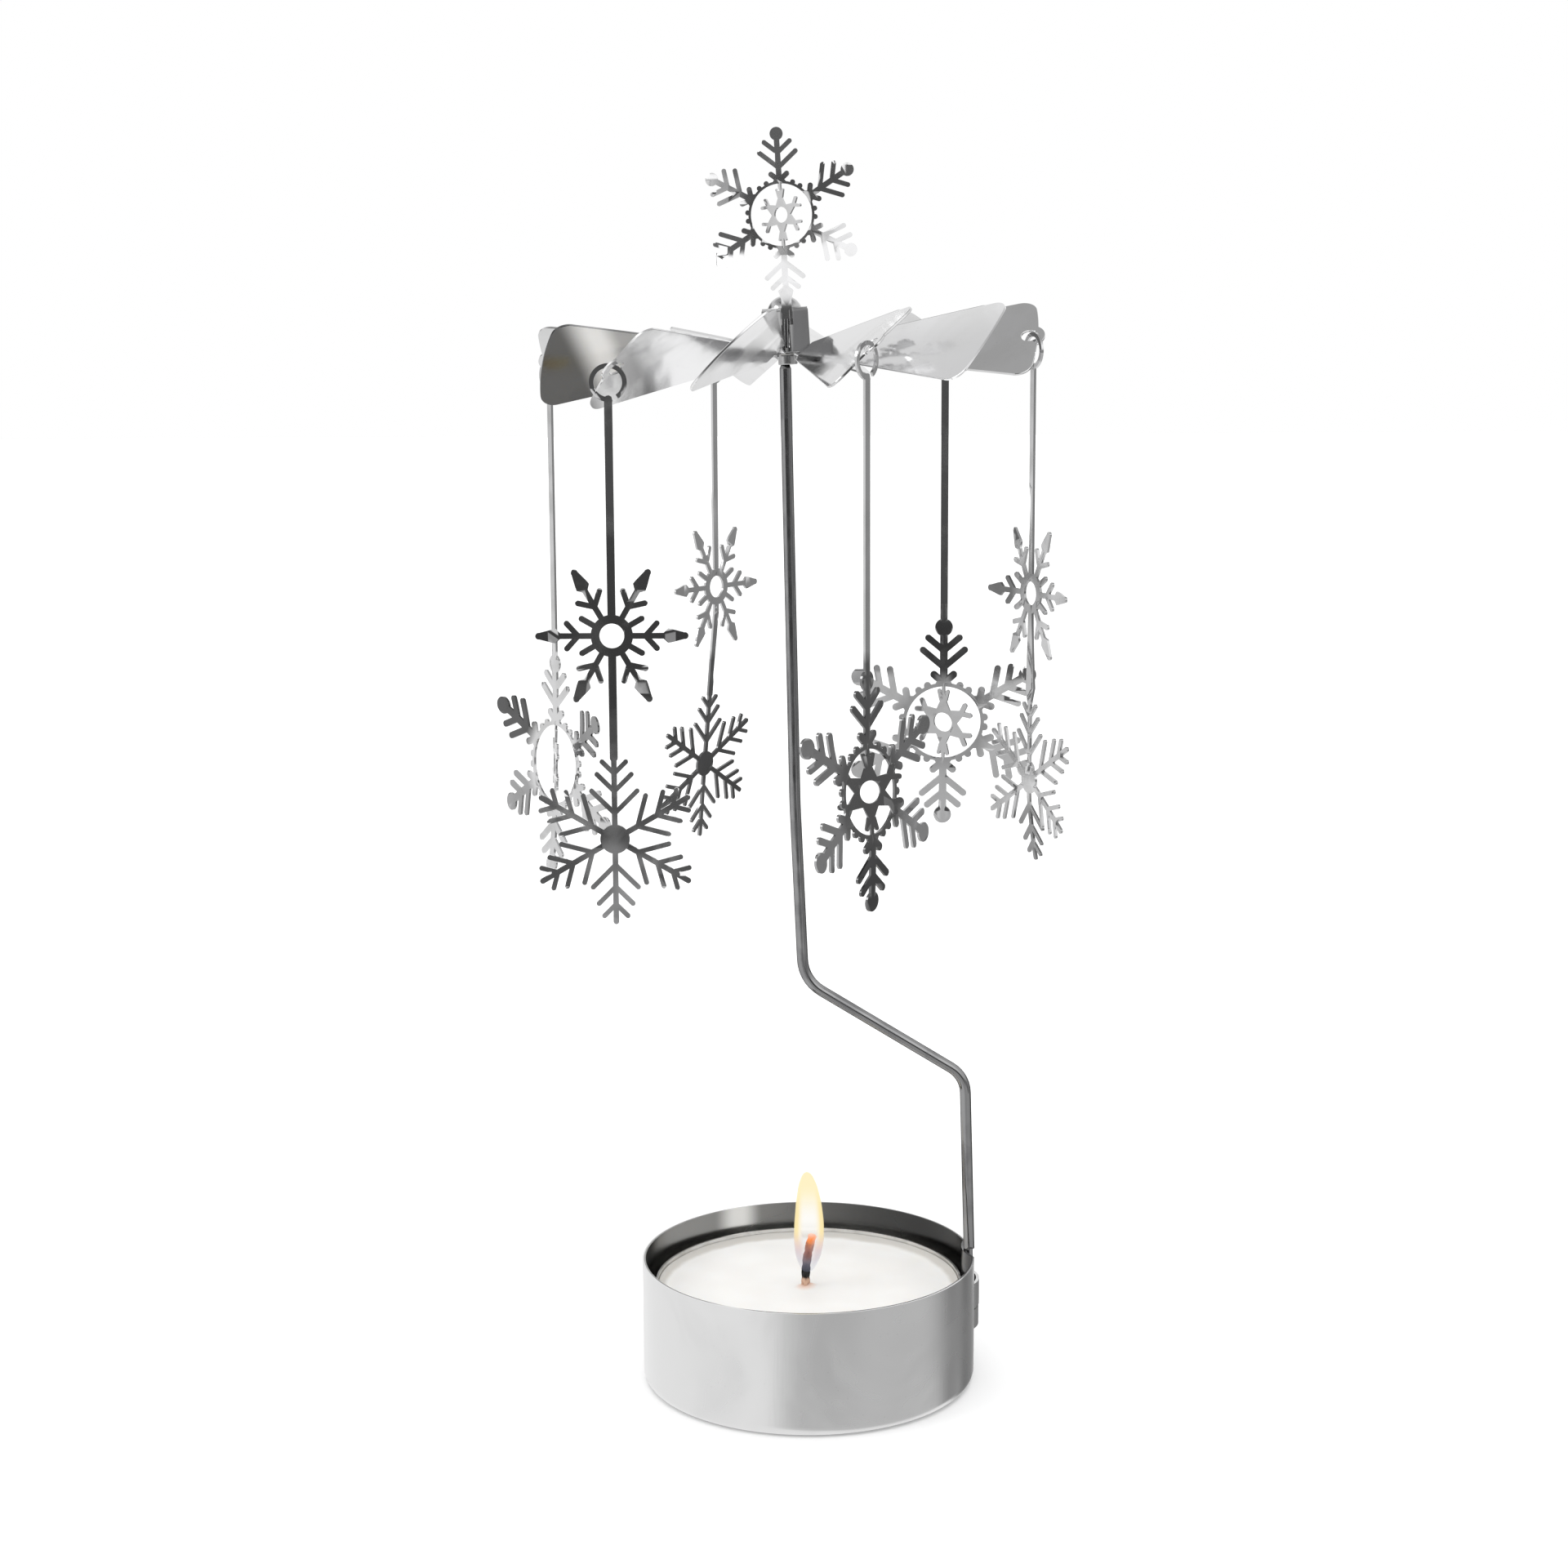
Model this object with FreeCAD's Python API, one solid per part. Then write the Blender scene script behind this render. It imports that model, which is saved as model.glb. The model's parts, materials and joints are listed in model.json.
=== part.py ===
"""Rotary tealight carousel: cup, cranked rod, twelve-blade rotor and six hanging snowflake pendants.

Millimetres. The origin is the centre of the cup's underside, +Z is up, and the cranked rod
stands at the cup's +X side. Each function makes one piece of the object, in the object's frame.
"""
import FreeCAD, Part
import math
import os
from FreeCAD import Placement, Rotation, Vector

# ---- Driving dimensions ----------------------------------------------------------------------

SHEET = 0.3                     # thickness of every stamped sheet piece

CUP_RADIUS = 20.75
CUP_HEIGHT = 15.5
CUP_WALL = 0.4
CUP_BOTTOM_FILLET = 1.3

SOCKET_AZIMUTH = 6.0            # where the rod's socket is lanced in the cup wall
SOCKET_HALF_ANGLE = 8.9
LANCE_GAP = 0.12
# lanced strips from the rim down: (lowest z, highest z, bulge outwards at the middle)
SOCKET_STRIPS = ((12.1, CUP_HEIGHT, -0.9), (8.7, 12.1, 0.85), (6.1, 8.7, 0.8))

ROD_RADIUS = 0.69
ROD_NECK_RADIUS = 0.5           # the rod's top, inside the guide bush
ROD_AXIS_RADIUS = 20.35         # from the cup's axis to the rod at the rim
SHOULDER_Z = 15.6
TANG_THICKNESS = 0.7
TANG_WIDTH = 2.0
TANG_LENGTH = 9.1
CRANK_LOW = (0.65, 38.0)        # sharp corners of the crank: (distance from the socket, z)
CRANK_HIGH = (20.8, 50.8)
BOW = (21.75, 73.0)             # the upper leg is bowed a little here
BEND_RADII = (4.0, 5.0, 60.0)   # at the crank's two corners and at the bow
NECK_START_Z = 125.3
TIP_LENGTH = 1.1
PIVOT = Vector(-2.46, 0.0, 133.5)  # where the rod's point bears inside the cap's dome
PIVOT_GAP = 0.03

ROTOR_TILT = 3.5                # the rotor leans, its +X side up
PIVOT_ABOVE_PLATE = 6.35
HUB_RADIUS = 4.8
BLADE_COUNT = 12
BLADE_AZIMUTH = -10.9           # of the first blade, which carries the first pendant
# The blades are twisted by hand, one by one: pitch, rise from the hub and turn from even spacing, degrees.
BLADE_PITCHES = (38, 38, 38, 38, 38, 40, 44, 45, 41, 40, 38, 38)
BLADE_LIFTS = (0, 0, 0.3, 0.3, -0.3, 0.3, 1.2, 1.4, -0.3, 3.2, 1.4, 0.8)
BLADE_TURNS = (0, 0, 0, 0, 1.8, 0, 0, 0, 0, -1.2, 0, 0)
BLADE_HALF_ANGLE = 13.2
BLADE_INNER_RADIUS = 6.3
BLADE_OUTER_RADIUS = 29.8
BLADE_CORNER = 1.8
NECK_WIDTH = 1.7
NECK_SHEET = 0.27               # the necks are drawn thinner as they twist
NECK_SECTIONS = 5
HOLE_CIRCLE_RADIUS = 28.74
HOLE_RADIUS = 0.95
HOLE_LUG_RADIUS = 1.85          # the rounded lug of sheet round each hole

BUSH_BORE_RADIUS = 0.92
BUSH_RADIUS = 1.15
BUSH_DROP = 1.4                 # below the plate's middle
BUSH_FLANGE_RADIUS = 1.7
BUSH_FLANGE_HEIGHT = 0.4
FIT_GAP = 0.02

CAP_HALF_WIDTH = 2.33           # axis to the outside of a leg
CAP_TOP = 5.25                  # top of the cap's flat, above the plate's middle
CAP_CORNER_CUT = 3.05           # axis to the cut corners of the flat
CAP_FOLD_RADIUS = 0.45
LEG_WIDTH = 3.1
LEG_TAB_WIDTH = 1.2
LEG_TAB_DROP = 0.4
DOME_RADIUS = 2.0
DOME_HEIGHT = 1.4
SLIT_OFFSET = 2.5               # axis to the slit that holds the top snowflake's tail
TAIL_WIDTH = 1.2
TAIL_END = 12.0                 # top snowflake's centre to its tail's end
TOP_CENTRE_HEIGHT = 15.95       # top snowflake's centre above the plate's middle
TOP_YAW = -5.0
TOP_SHIFT = 0.3                 # the tail sits off the middle of the cap

HOOK_RADIUS = 1.85              # middle of a pendant's ring
HOOK_BAND = 0.52
HOOK_CENTRE = (1.0, -1.5)       # ring centre from the hole centre, along the pendant and up
HOOK_GAP = (-122.0, -103.0)     # the ring's opening, degrees
PENDANT_TURN = 40.9             # a pendant's face normal from its blade's azimuth, degrees
PENDANT_YAWS = (-5.0, 0.0, -6.0, 7.0, 0.0, -5.5)  # how far each hangs turned from that, degrees
STEM_WIDTH = 0.85
LARGE_DROP = 49.0               # hole to the middle of a large snowflake
UPPER_DROP = 29.75              # hole to the middle of a double pendant's upper snowflake
LOWER_DROPS = (52.0, 53.4, 53.05)  # hole to the middle of its lower snowflake
DOUBLE_FOLDS = (0.0, 6.0, 0.0)  # how far each double pendant's stem is bent, degrees
STAR_TWIST = -28.0              # inner star about its upright necks, from the ring

TEALIGHT_RADIUS = 19.1
TEALIGHT_WALL = 0.25
TEALIGHT_BASE = 0.45
TEALIGHT_TOP = 12.5
WAX_GAP = 0.05
WAX_TOP = 11.3
WAX_MOUND = 0.65
WAX_MOUND_RADIUS = 2.4
WICK_X = -0.35
WICK_RADIUS = 0.48
WICK_FOOT = 1.3
WICK_BEND_Z = 12.6
WICK_TIP = Vector(0.55, 0.0, 18.3)
SUSTAINER_RADIUS = 6.0
SUSTAINER_NECK = 0.85
SUSTAINER_HEIGHT = 3.2

BARB_ANGLE = 50.0               # of a large snowflake's barbs from their arm
FINE_BARB_ANGLE = 45.0          # of a double pendant's barbs

# A large snowflake: ring hole, ring band, arm's ball (distance, radius), spine width,
# barbs (where they leave the arm, length), barb width, short barbs (same, with their width),
# foot width at the ring, bumps on the ring (radius, distance), star scale.
LARGE = dict(hole=4.85, band=0.36, ball=(12.45, 1.1), spine=0.92, barbs=((9.45, 2.6), (7.3, 3.5)),
             barb_width=0.76, stub=(5.3, 1.65, 0.85), foot=2.2, bump=(0.42, 5.33), star=1.0)
TOP = dict(hole=3.58, band=0.3, ball=(9.25, 0.77), spine=0.66, barbs=((7.1, 1.95), (5.4, 2.75)),
           barb_width=0.56, stub=(3.9, 1.2, 0.62), foot=1.6, bump=(0.3, 3.96), star=0.69)
BUMP_SPREAD = 7.0

Z_AXIS = Vector(0, 0, 1)
SOCKET_DIRECTION = Vector(math.cos(math.radians(SOCKET_AZIMUTH)), math.sin(math.radians(SOCKET_AZIMUTH)), 0)
ROD_FOOT = SOCKET_DIRECTION * ROD_AXIS_RADIUS


# ---- Flat outlines, drawn in the XY plane ----------------------------------------------------

def bar(start, end, width):
    """A straight bar with round ends, from start to end."""
    start = Vector(*start)
    end = Vector(*end)
    along = (end - start).normalize() * (width / 2)
    side = Vector(along.y, -along.x, 0)
    edges = [Part.LineSegment(start + side, end + side).toShape(),
             Part.Arc(end + side, end + along, end - side).toShape(),
             Part.LineSegment(end - side, start - side).toShape(),
             Part.Arc(start - side, start - along, start + side).toShape()]
    return Part.Face(Part.Wire(edges))


def disc(centre, radius):
    """A round disc."""
    circle = Part.Circle(Vector(*centre), Z_AXIS, radius)
    return Part.Face(Part.Wire([circle.toShape()]))


def ring(inner, outer):
    """A flat ring round the origin."""
    return disc((0, 0), outer).cut(disc((0, 0), inner))


def polygon(points):
    """A face with straight edges."""
    corners = [Vector(*point) for point in points]
    return Part.Face(Part.makePolygon(corners + corners[:1]))


def turned(shapes, degrees):
    """Copies of the shapes, turned about the origin."""
    return [shape.rotated(Vector(), Z_AXIS, degrees) for shape in shapes]


def sheet(faces, thickness=SHEET):
    """One sheet-metal solid from overlapping faces, with its middle on the drawing plane."""
    outline = faces[0].multiFuse(faces[1:]).removeSplitter() if len(faces) > 1 else faces[0]
    solids = outline.translated(Vector(0, 0, -thickness / 2)).extrude(Vector(0, 0, thickness)).Solids
    return solids[0] if len(solids) == 1 else solids[0].multiFuse(solids[1:]).removeSplitter()


def barb_pair(distance, length, width, angle):
    """Two bars that leave an upright arm at a distance and point outwards."""
    side = length * math.sin(math.radians(angle))
    rise = distance + length * math.cos(math.radians(angle))
    return [bar((0, distance), (sign * side, rise), width) for sign in (-1, 1)]


# ---- Snowflakes ------------------------------------------------------------------------------

def large_arm(spec, tip=True):
    """An upright arm of a large snowflake: foot, spine, barbs and ball."""
    distance, ball_radius = spec["ball"]
    ring_middle = spec["hole"] + spec["band"] / 2
    stub_start, stub_length, stub_width = spec["stub"]
    half_foot = spec["foot"] / 2
    half_spine = spec["spine"] / 2
    faces = [bar((0, ring_middle), (0, distance), spec["spine"]),
             polygon([(-half_foot, ring_middle), (half_foot, ring_middle),
                      (half_spine, stub_start + stub_width), (-half_spine, stub_start + stub_width)])]
    for junction, length in spec["barbs"]:
        faces += barb_pair(junction, length, spec["barb_width"], BARB_ANGLE)
    faces += barb_pair(stub_start, stub_length, stub_width, BARB_ANGLE)
    if tip:
        faces.append(disc((0, distance), ball_radius))
    return faces


def inner_star(scale, reach):
    """The star inside a large snowflake's ring, with the two necks that hold it."""
    valley, neck, half_neck, hole = 1.85 * scale, 3.0 * scale, 0.32 * scale, 1.33 * scale
    prong, prong_width, fork = 1.05 * scale, 0.56 * scale, 3.1 * scale
    flare, half_flare = 4.15 * scale, 0.6 * scale
    outline = []
    for arm in range(6):
        for x, y in ((half_neck, neck), (-half_neck, neck)):
            outline.append(FreeCAD.Rotation(Z_AXIS, 60 * arm).multVec(Vector(x, y, 0)))
        outline.append(FreeCAD.Rotation(Z_AXIS, 60 * arm + 30).multVec(Vector(0, valley, 0)))
    star = [polygon(outline)]
    for arm in (1, 2, 4, 5):
        star += turned(barb_pair(fork - 0.2 * scale, prong + 0.2 * scale, prong_width, 35), 60 * arm)
    for arm in (0, 3):
        flared = [polygon([(-half_neck, neck - 0.3 * scale), (half_neck, neck - 0.3 * scale),
                           (half_flare, flare), (0, flare - 0.25 * scale), (-half_flare, flare)]),
                  bar((-half_flare, flare), (-half_neck, neck), 0.4 * scale),
                  bar((half_flare, flare), (half_neck, neck), 0.4 * scale),
                  bar((0, neck), (0, reach), SHEET + 0.04)]
        star += turned(flared, 60 * arm)
    whole = star[0].multiFuse(star[1:]).removeSplitter()
    return whole.cut(disc((0, 0), hole))


def large_snowflake(spec, last_arm, twist):
    """A ringed six-armed snowflake with a twisted star inside; last_arm is the upright list to add."""
    faces = [ring(spec["hole"], spec["hole"] + spec["band"])]
    for arm in range(1, 6):
        faces += turned(large_arm(spec), 60 * arm) if last_arm is None or arm != 3 else []
    faces += large_arm(spec)
    if last_arm is not None:
        faces += turned(last_arm, 180)
    bump_radius, bump_distance = spec["bump"]
    for gap in range(6):
        for spread in (-BUMP_SPREAD, BUMP_SPREAD):
            faces += turned([disc((0, bump_distance), bump_radius)], 60 * gap + 30 + spread)
    outline = faces[0].multiFuse(faces[1:]).removeSplitter().cut(disc((0, 0), spec["hole"]))
    frame = sheet([outline])
    star = sheet([inner_star(spec["star"], spec["hole"] + spec["band"] / 2)])
    star.rotate(Vector(), Vector(0, 1, 0), twist)
    return frame.fuse(star)


def spear_arm():
    """An upright arm of a double pendant's upper snowflake, with its spearhead."""
    half_spine = 0.3
    return [bar((0, 2.0), (0, 6.4), 2 * half_spine),
            bar((0, 6.5), (0, 8.25), 0.7),
            polygon([(-half_spine, 5.85), (half_spine, 5.85), (0.78, 6.35), (0.7, 6.8), (0.3, 8.35),
                     (-0.3, 8.35), (-0.7, 6.8), (-0.78, 6.35)])] \
        + barb_pair(3.8, 1.9, 0.58, FINE_BARB_ANGLE + 3)


def upper_snowflake():
    """A ring with six spear-headed arms, two of them level, and four short rays."""
    faces = [disc((0, 0), 2.35)]
    for arm in range(6):
        faces += turned(spear_arm(), 60 * arm + 30)
    for ray in (1, 2, 4, 5):
        faces += turned([bar((0, 2.0), (0, 3.9), 0.6)], 60 * ray)
    return faces


def lower_snowflake():
    """A solid disc with six barbed arms, two of them upright."""
    faces = [disc((0, 0), 1.65)]
    for arm in range(6):
        arm_faces = [bar((0, 1.3), (0, 9.6), 0.58)]
        for junction, length in ((3.0, 3.65), (5.55, 2.75), (7.6, 1.9)):
            arm_faces += barb_pair(junction, length, 0.5, FINE_BARB_ANGLE)
        faces += turned(arm_faces, 60 * arm)
    return faces


# ---- Pendants --------------------------------------------------------------------------------

def hook_faces(stem_end):
    """The open ring at a pendant's top and its stem, with the hole centre at the origin."""
    middle_x, middle_y = HOOK_CENTRE
    whole = ring(HOOK_RADIUS - HOOK_BAND / 2, HOOK_RADIUS + HOOK_BAND / 2)
    reach = 3 * HOOK_RADIUS
    corners = [Vector()] + [Rotation(Z_AXIS, angle).multVec(Vector(reach, 0, 0)) for angle in HOOK_GAP]
    opened = whole.cut(polygon(corners))
    opened.translate(Vector(middle_x, middle_y, 0))
    return [opened, bar((middle_x, middle_y - HOOK_RADIUS), (middle_x, stem_end), STEM_WIDTH)]


def large_pendant():
    """A stem with one large snowflake, flat in the XY plane, hole centre at the origin."""
    x = HOOK_CENTRE[0]
    distance, ball_radius = LARGE["ball"]
    hanger = sheet(hook_faces(distance - LARGE_DROP))
    flake = large_snowflake(LARGE, None, STAR_TWIST)
    flake.translate(Vector(x, -LARGE_DROP, 0))
    return hanger.fuse(flake).removeSplitter()


def double_pendant(lower_drop, fold):
    """A stem with a spear-headed snowflake and a barbed one, below a fold in the stem."""
    x = HOOK_CENTRE[0]
    fold_y = -UPPER_DROP - 3.0
    above = hook_faces(-UPPER_DROP + 2.0)
    above += [face.translated(Vector(x, -UPPER_DROP, 0)) for face in upper_snowflake()]
    above.append(bar((x, -UPPER_DROP - 2.0), (x, fold_y), STEM_WIDTH))
    whole = above[0].multiFuse(above[1:]).removeSplitter()
    hanger = sheet([whole.cut(disc((x, -UPPER_DROP), 1.43))])
    below = [bar((x, fold_y), (x, -lower_drop + 9.4), STEM_WIDTH)]
    below += [face.translated(Vector(x, -lower_drop, 0)) for face in lower_snowflake()]
    lower = sheet(below)
    lower.rotate(Vector(x, fold_y, 0), Vector(1, 0, 0), fold)
    return hanger.fuse(lower).removeSplitter()


def blade_azimuth(number):
    """Azimuth of a blade's length in the rotor's own frame, degrees."""
    return BLADE_AZIMUTH + number * 360 / BLADE_COUNT + BLADE_TURNS[number]


def pendant_azimuth(number):
    """Azimuth of the pendant that hangs from a blade's hole, along its sheet, degrees."""
    return BLADE_AZIMUTH + number * 360 / BLADE_COUNT + PENDANT_TURN + PENDANT_YAWS[number // 2] - 90


def hole_centre(number):
    """Centre of the hole in a blade, in the object's frame."""
    angle, lift = math.radians(blade_azimuth(number)), math.radians(BLADE_LIFTS[number])
    reach = HUB_RADIUS + (HOLE_CIRCLE_RADIUS - HUB_RADIUS) * math.cos(lift)
    rise = (HOLE_CIRCLE_RADIUS - HUB_RADIUS) * math.sin(lift)
    return rotor_placement().multVec(Vector(reach * math.cos(angle), reach * math.sin(angle), rise))


def rotor_placement():
    """Rotor's own frame, plate middle at the origin, to the object's frame."""
    tilt = Rotation(Vector(0, -1, 0), ROTOR_TILT)
    return Placement(PIVOT - tilt.multVec(Vector(0, 0, PIVOT_ABOVE_PLATE)), tilt)


def hung(flat, number):
    """A flat pendant, stood upright at the hole of a blade and turned about the vertical."""
    upright = Rotation(Vector(1, 0, 0), 90)
    yaw = Rotation(Z_AXIS, pendant_azimuth(number))
    pendant = flat.copy()
    pendant.Placement = Placement(hole_centre(number), yaw.multiply(upright)).multiply(pendant.Placement)
    return pendant


# ---- Cup and rod -----------------------------------------------------------------------------

def level_edges(shape, z):
    """Edges that lie at one height."""
    return [edge for edge in shape.Edges
            if abs(edge.BoundBox.ZMin - z) < 1e-4 and abs(edge.BoundBox.ZMax - z) < 1e-4]


def drawn_cup(radius, wall, base, top, fillet):
    """A round cup drawn from sheet."""
    outer = Part.makeCylinder(radius, top - base, Vector(0, 0, base))
    outer = outer.makeFillet(fillet, level_edges(outer, base))
    inner = Part.makeCylinder(radius - wall, top - base, Vector(0, 0, base + wall))
    inner = inner.makeFillet(fillet - wall, level_edges(inner, base + wall))
    return outer.cut(inner)


def socket_strip(low, high, bulge):
    """One lanced strip of the cup wall, pushed in or out at its middle."""
    half = math.radians(SOCKET_HALF_ANGLE)

    def arc(radius):
        ends = [Vector(radius * math.cos(a), radius * math.sin(a), low) for a in (-half, half)]
        return ends, Part.Arc(ends[0], Vector(radius + bulge, 0, low), ends[1]).toShape()

    inner_ends, inner = arc(CUP_RADIUS - CUP_WALL)
    outer_ends, outer = arc(CUP_RADIUS)
    sides = [Part.LineSegment(inner_ends[i], outer_ends[i]).toShape() for i in (0, 1)]
    face = Part.Face(Part.Wire(Part.__sortEdges__([inner, outer] + sides)))
    return face.extrude(Vector(0, 0, high - low))


def base_cup():
    """The cup, with the rod's socket lanced in its wall."""
    cup = drawn_cup(CUP_RADIUS, CUP_WALL, 0.0, CUP_HEIGHT, CUP_BOTTOM_FILLET)
    window_low = SOCKET_STRIPS[-1][0] - LANCE_GAP
    window = Part.makeCylinder(CUP_RADIUS + 1, CUP_HEIGHT, Vector(0, 0, window_low), Z_AXIS,
                               2 * SOCKET_HALF_ANGLE)
    window.rotate(Vector(), Z_AXIS, -SOCKET_HALF_ANGLE)
    cup = cup.cut(window)
    strips = []
    for low, high, bulge in SOCKET_STRIPS:
        strips.append(socket_strip(low, high - (LANCE_GAP if high < CUP_HEIGHT else 0), bulge))
    cup = cup.multiFuse(strips)
    cup.rotate(Vector(), Z_AXIS, SOCKET_AZIMUTH)
    return cup


def tangent_path(points, radii):
    """A wire through the points whose corners are rounded by tangent arcs."""
    edges = []
    start = points[0]
    for corner, following, radius in zip(points[1:-1], points[2:], radii):
        before = (start - corner).normalize()
        after = (following - corner).normalize()
        half = before.getAngle(after) / 2
        setback = radius / math.tan(half)
        middle = (before + after).normalize() * (radius / math.sin(half) - radius)
        first = corner + before * setback
        last = corner + after * setback
        edges.append(Part.LineSegment(start, first).toShape())
        edges.append(Part.Arc(first, corner + middle, last).toShape())
        start = last
    edges.append(Part.LineSegment(start, points[-1]).toShape())
    return Part.Wire(edges)


def rod_point(distance, z):
    """A point of the rod's upright plane: distance from its foot towards the rotor, and height."""
    inwards = Vector(PIVOT.x, PIVOT.y, 0) - ROD_FOOT
    return ROD_FOOT + inwards.normalize() * distance + Vector(0, 0, z)


def rod_directions():
    """Unit directions of the rod's lower leg and of its upper leg, both pointing up."""
    foot = rod_point(0, SHOULDER_Z)
    low = rod_point(*CRANK_LOW)
    bow = rod_point(*BOW)
    return (low - foot).normalize(), (PIVOT - bow).normalize()


def support_rod():
    """The cranked rod: flat tang, two bends, thin neck and pointed tip."""
    foot = rod_point(0, SHOULDER_Z)
    lower, upper = rod_directions()
    neck_start = PIVOT - upper * ((PIVOT.z - NECK_START_Z) / upper.z)
    corners = [rod_point(*CRANK_LOW), rod_point(*CRANK_HIGH), rod_point(*BOW)]
    path = tangent_path([foot] + corners + [neck_start], BEND_RADII)
    circle = Part.Wire([Part.Circle(foot, lower, ROD_RADIUS).toShape()])
    wire = path.makePipeShell([circle], True, False)
    taper = 0.5
    tip = PIVOT - upper * PIVOT_GAP
    neck_length = (tip - neck_start).Length - TIP_LENGTH
    cone = Part.makeCone(ROD_RADIUS, ROD_NECK_RADIUS, taper, neck_start, upper)
    neck = Part.makeCylinder(ROD_NECK_RADIUS, neck_length - taper, neck_start + upper * taper, upper)
    point = Part.makeCone(ROD_NECK_RADIUS, 0.08, TIP_LENGTH, neck_start + upper * neck_length, upper)
    tang = Part.makeBox(TANG_THICKNESS, TANG_WIDTH, TANG_LENGTH,
                        Vector(-TANG_THICKNESS / 2, -TANG_WIDTH / 2, -TANG_LENGTH))
    tang = tang.makeFillet(0.25, [edge for edge in tang.Edges if edge.BoundBox.ZLength > 1])
    upright = Rotation(Vector(0, 0, 1), lower)
    tang.Placement = Placement(foot + lower * 0.2, upright.multiply(Rotation(Z_AXIS, SOCKET_AZIMUTH)))
    return wire.multiFuse([cone, neck, point, tang])


# ---- Rotor, in its own frame -----------------------------------------------------------------

def blade(with_hole, pitch, lift):
    """A blade along +X, pitched about its own length, its +Y side up, and raised from the hub."""
    half = math.radians(BLADE_HALF_ANGLE)
    inner = BLADE_INNER_RADIUS
    low, high = Vector(inner, -inner * math.tan(half), 0), Vector(inner, inner * math.tan(half), 0)
    ends = [Vector(BLADE_OUTER_RADIUS * math.cos(a), BLADE_OUTER_RADIUS * math.sin(a), 0)
            for a in (-half, half)]
    edges = [Part.LineSegment(high, low).toShape(),
             Part.LineSegment(low, ends[0]).toShape(),
             Part.Arc(ends[0], Vector(BLADE_OUTER_RADIUS, 0, 0), ends[1]).toShape(),
             Part.LineSegment(ends[1], high).toShape()]
    plate = sheet([Part.Face(Part.Wire(edges))])
    corners = [edge for edge in plate.Edges
               if edge.BoundBox.ZLength > SHEET / 2 and edge.BoundBox.XMin > BLADE_OUTER_RADIUS * 0.9]
    plate = plate.makeFillet(BLADE_CORNER, corners)
    if with_hole:
        place = (HOLE_CIRCLE_RADIUS, 0)
        plate = plate.fuse(sheet([disc(place, HOLE_LUG_RADIUS)])).removeSplitter()
        plate = plate.cut(sheet([disc(place, HOLE_RADIUS)], 2 * SHEET))
    plate.rotate(Vector(), Vector(1, 0, 0), pitch)
    plate.rotate(Vector(HUB_RADIUS, 0, 0), Vector(0, 1, 0), -lift)
    return plate


def blade_neck(pitch, lift):
    """The short neck that twists from the flat hub to a pitched blade."""
    start, end = HUB_RADIUS - 0.3, BLADE_INNER_RADIUS + 0.3
    sections = []
    for index in range(NECK_SECTIONS):
        share = index / (NECK_SECTIONS - 1)
        x = start + share * (end - start)
        half_width, half_sheet = NECK_WIDTH / 2, NECK_SHEET / 2
        corners = [Vector(x, -half_width, -half_sheet), Vector(x, half_width, -half_sheet),
                   Vector(x, half_width, half_sheet), Vector(x, -half_width, half_sheet)]
        section = Part.makePolygon(corners + corners[:1])
        section.rotate(Vector(x, 0, 0), Vector(1, 0, 0), pitch * share)
        section.rotate(Vector(HUB_RADIUS, 0, 0), Vector(0, 1, 0), -lift * share)
        sections.append(section)
    return Part.makeLoft(sections, True, True)


def leg_azimuths():
    """Azimuths of the cap's four legs."""
    return [45 + 90 * leg for leg in range(4)]


def rotor_disc():
    """The stamped rotor: hub, twelve twisted blades, bush hole and slots for the cap's tabs."""
    hub = sheet([disc((0, 0), HUB_RADIUS)])
    pieces = []
    for number in range(BLADE_COUNT):
        pitch, lift = BLADE_PITCHES[number], BLADE_LIFTS[number]
        pieces += turned([blade(number % 2 == 0, pitch, lift), blade_neck(pitch, lift)],
                         blade_azimuth(number))
    rotor = hub.multiFuse(pieces)
    cuts = [Part.makeCylinder(BUSH_RADIUS + FIT_GAP, 1, Vector(0, 0, -0.5))]
    for azimuth in leg_azimuths():
        slot = Part.makeBox(SHEET + 2 * FIT_GAP, LEG_TAB_WIDTH + 0.1, 1,
                            Vector(CAP_HALF_WIDTH - SHEET - FIT_GAP, -LEG_TAB_WIDTH / 2 - 0.05, -0.5))
        cuts += turned([slot], azimuth)
    return rotor.cut(cuts)


def guide_bush():
    """The bush that keeps the hub round the rod's neck, with a flange on the plate."""
    plate_top = SHEET / 2
    tube = Part.makeCylinder(BUSH_RADIUS, BUSH_DROP + plate_top + FIT_GAP, Vector(0, 0, -BUSH_DROP))
    tube = tube.makeFillet(0.15, level_edges(tube, -BUSH_DROP))
    flange = Part.makeCylinder(BUSH_FLANGE_RADIUS, BUSH_FLANGE_HEIGHT, Vector(0, 0, plate_top + FIT_GAP))
    bore = Part.makeCylinder(BUSH_BORE_RADIUS, 4, Vector(0, 0, -2))
    return tube.fuse(flange).cut(bore).removeSplitter()


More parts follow.
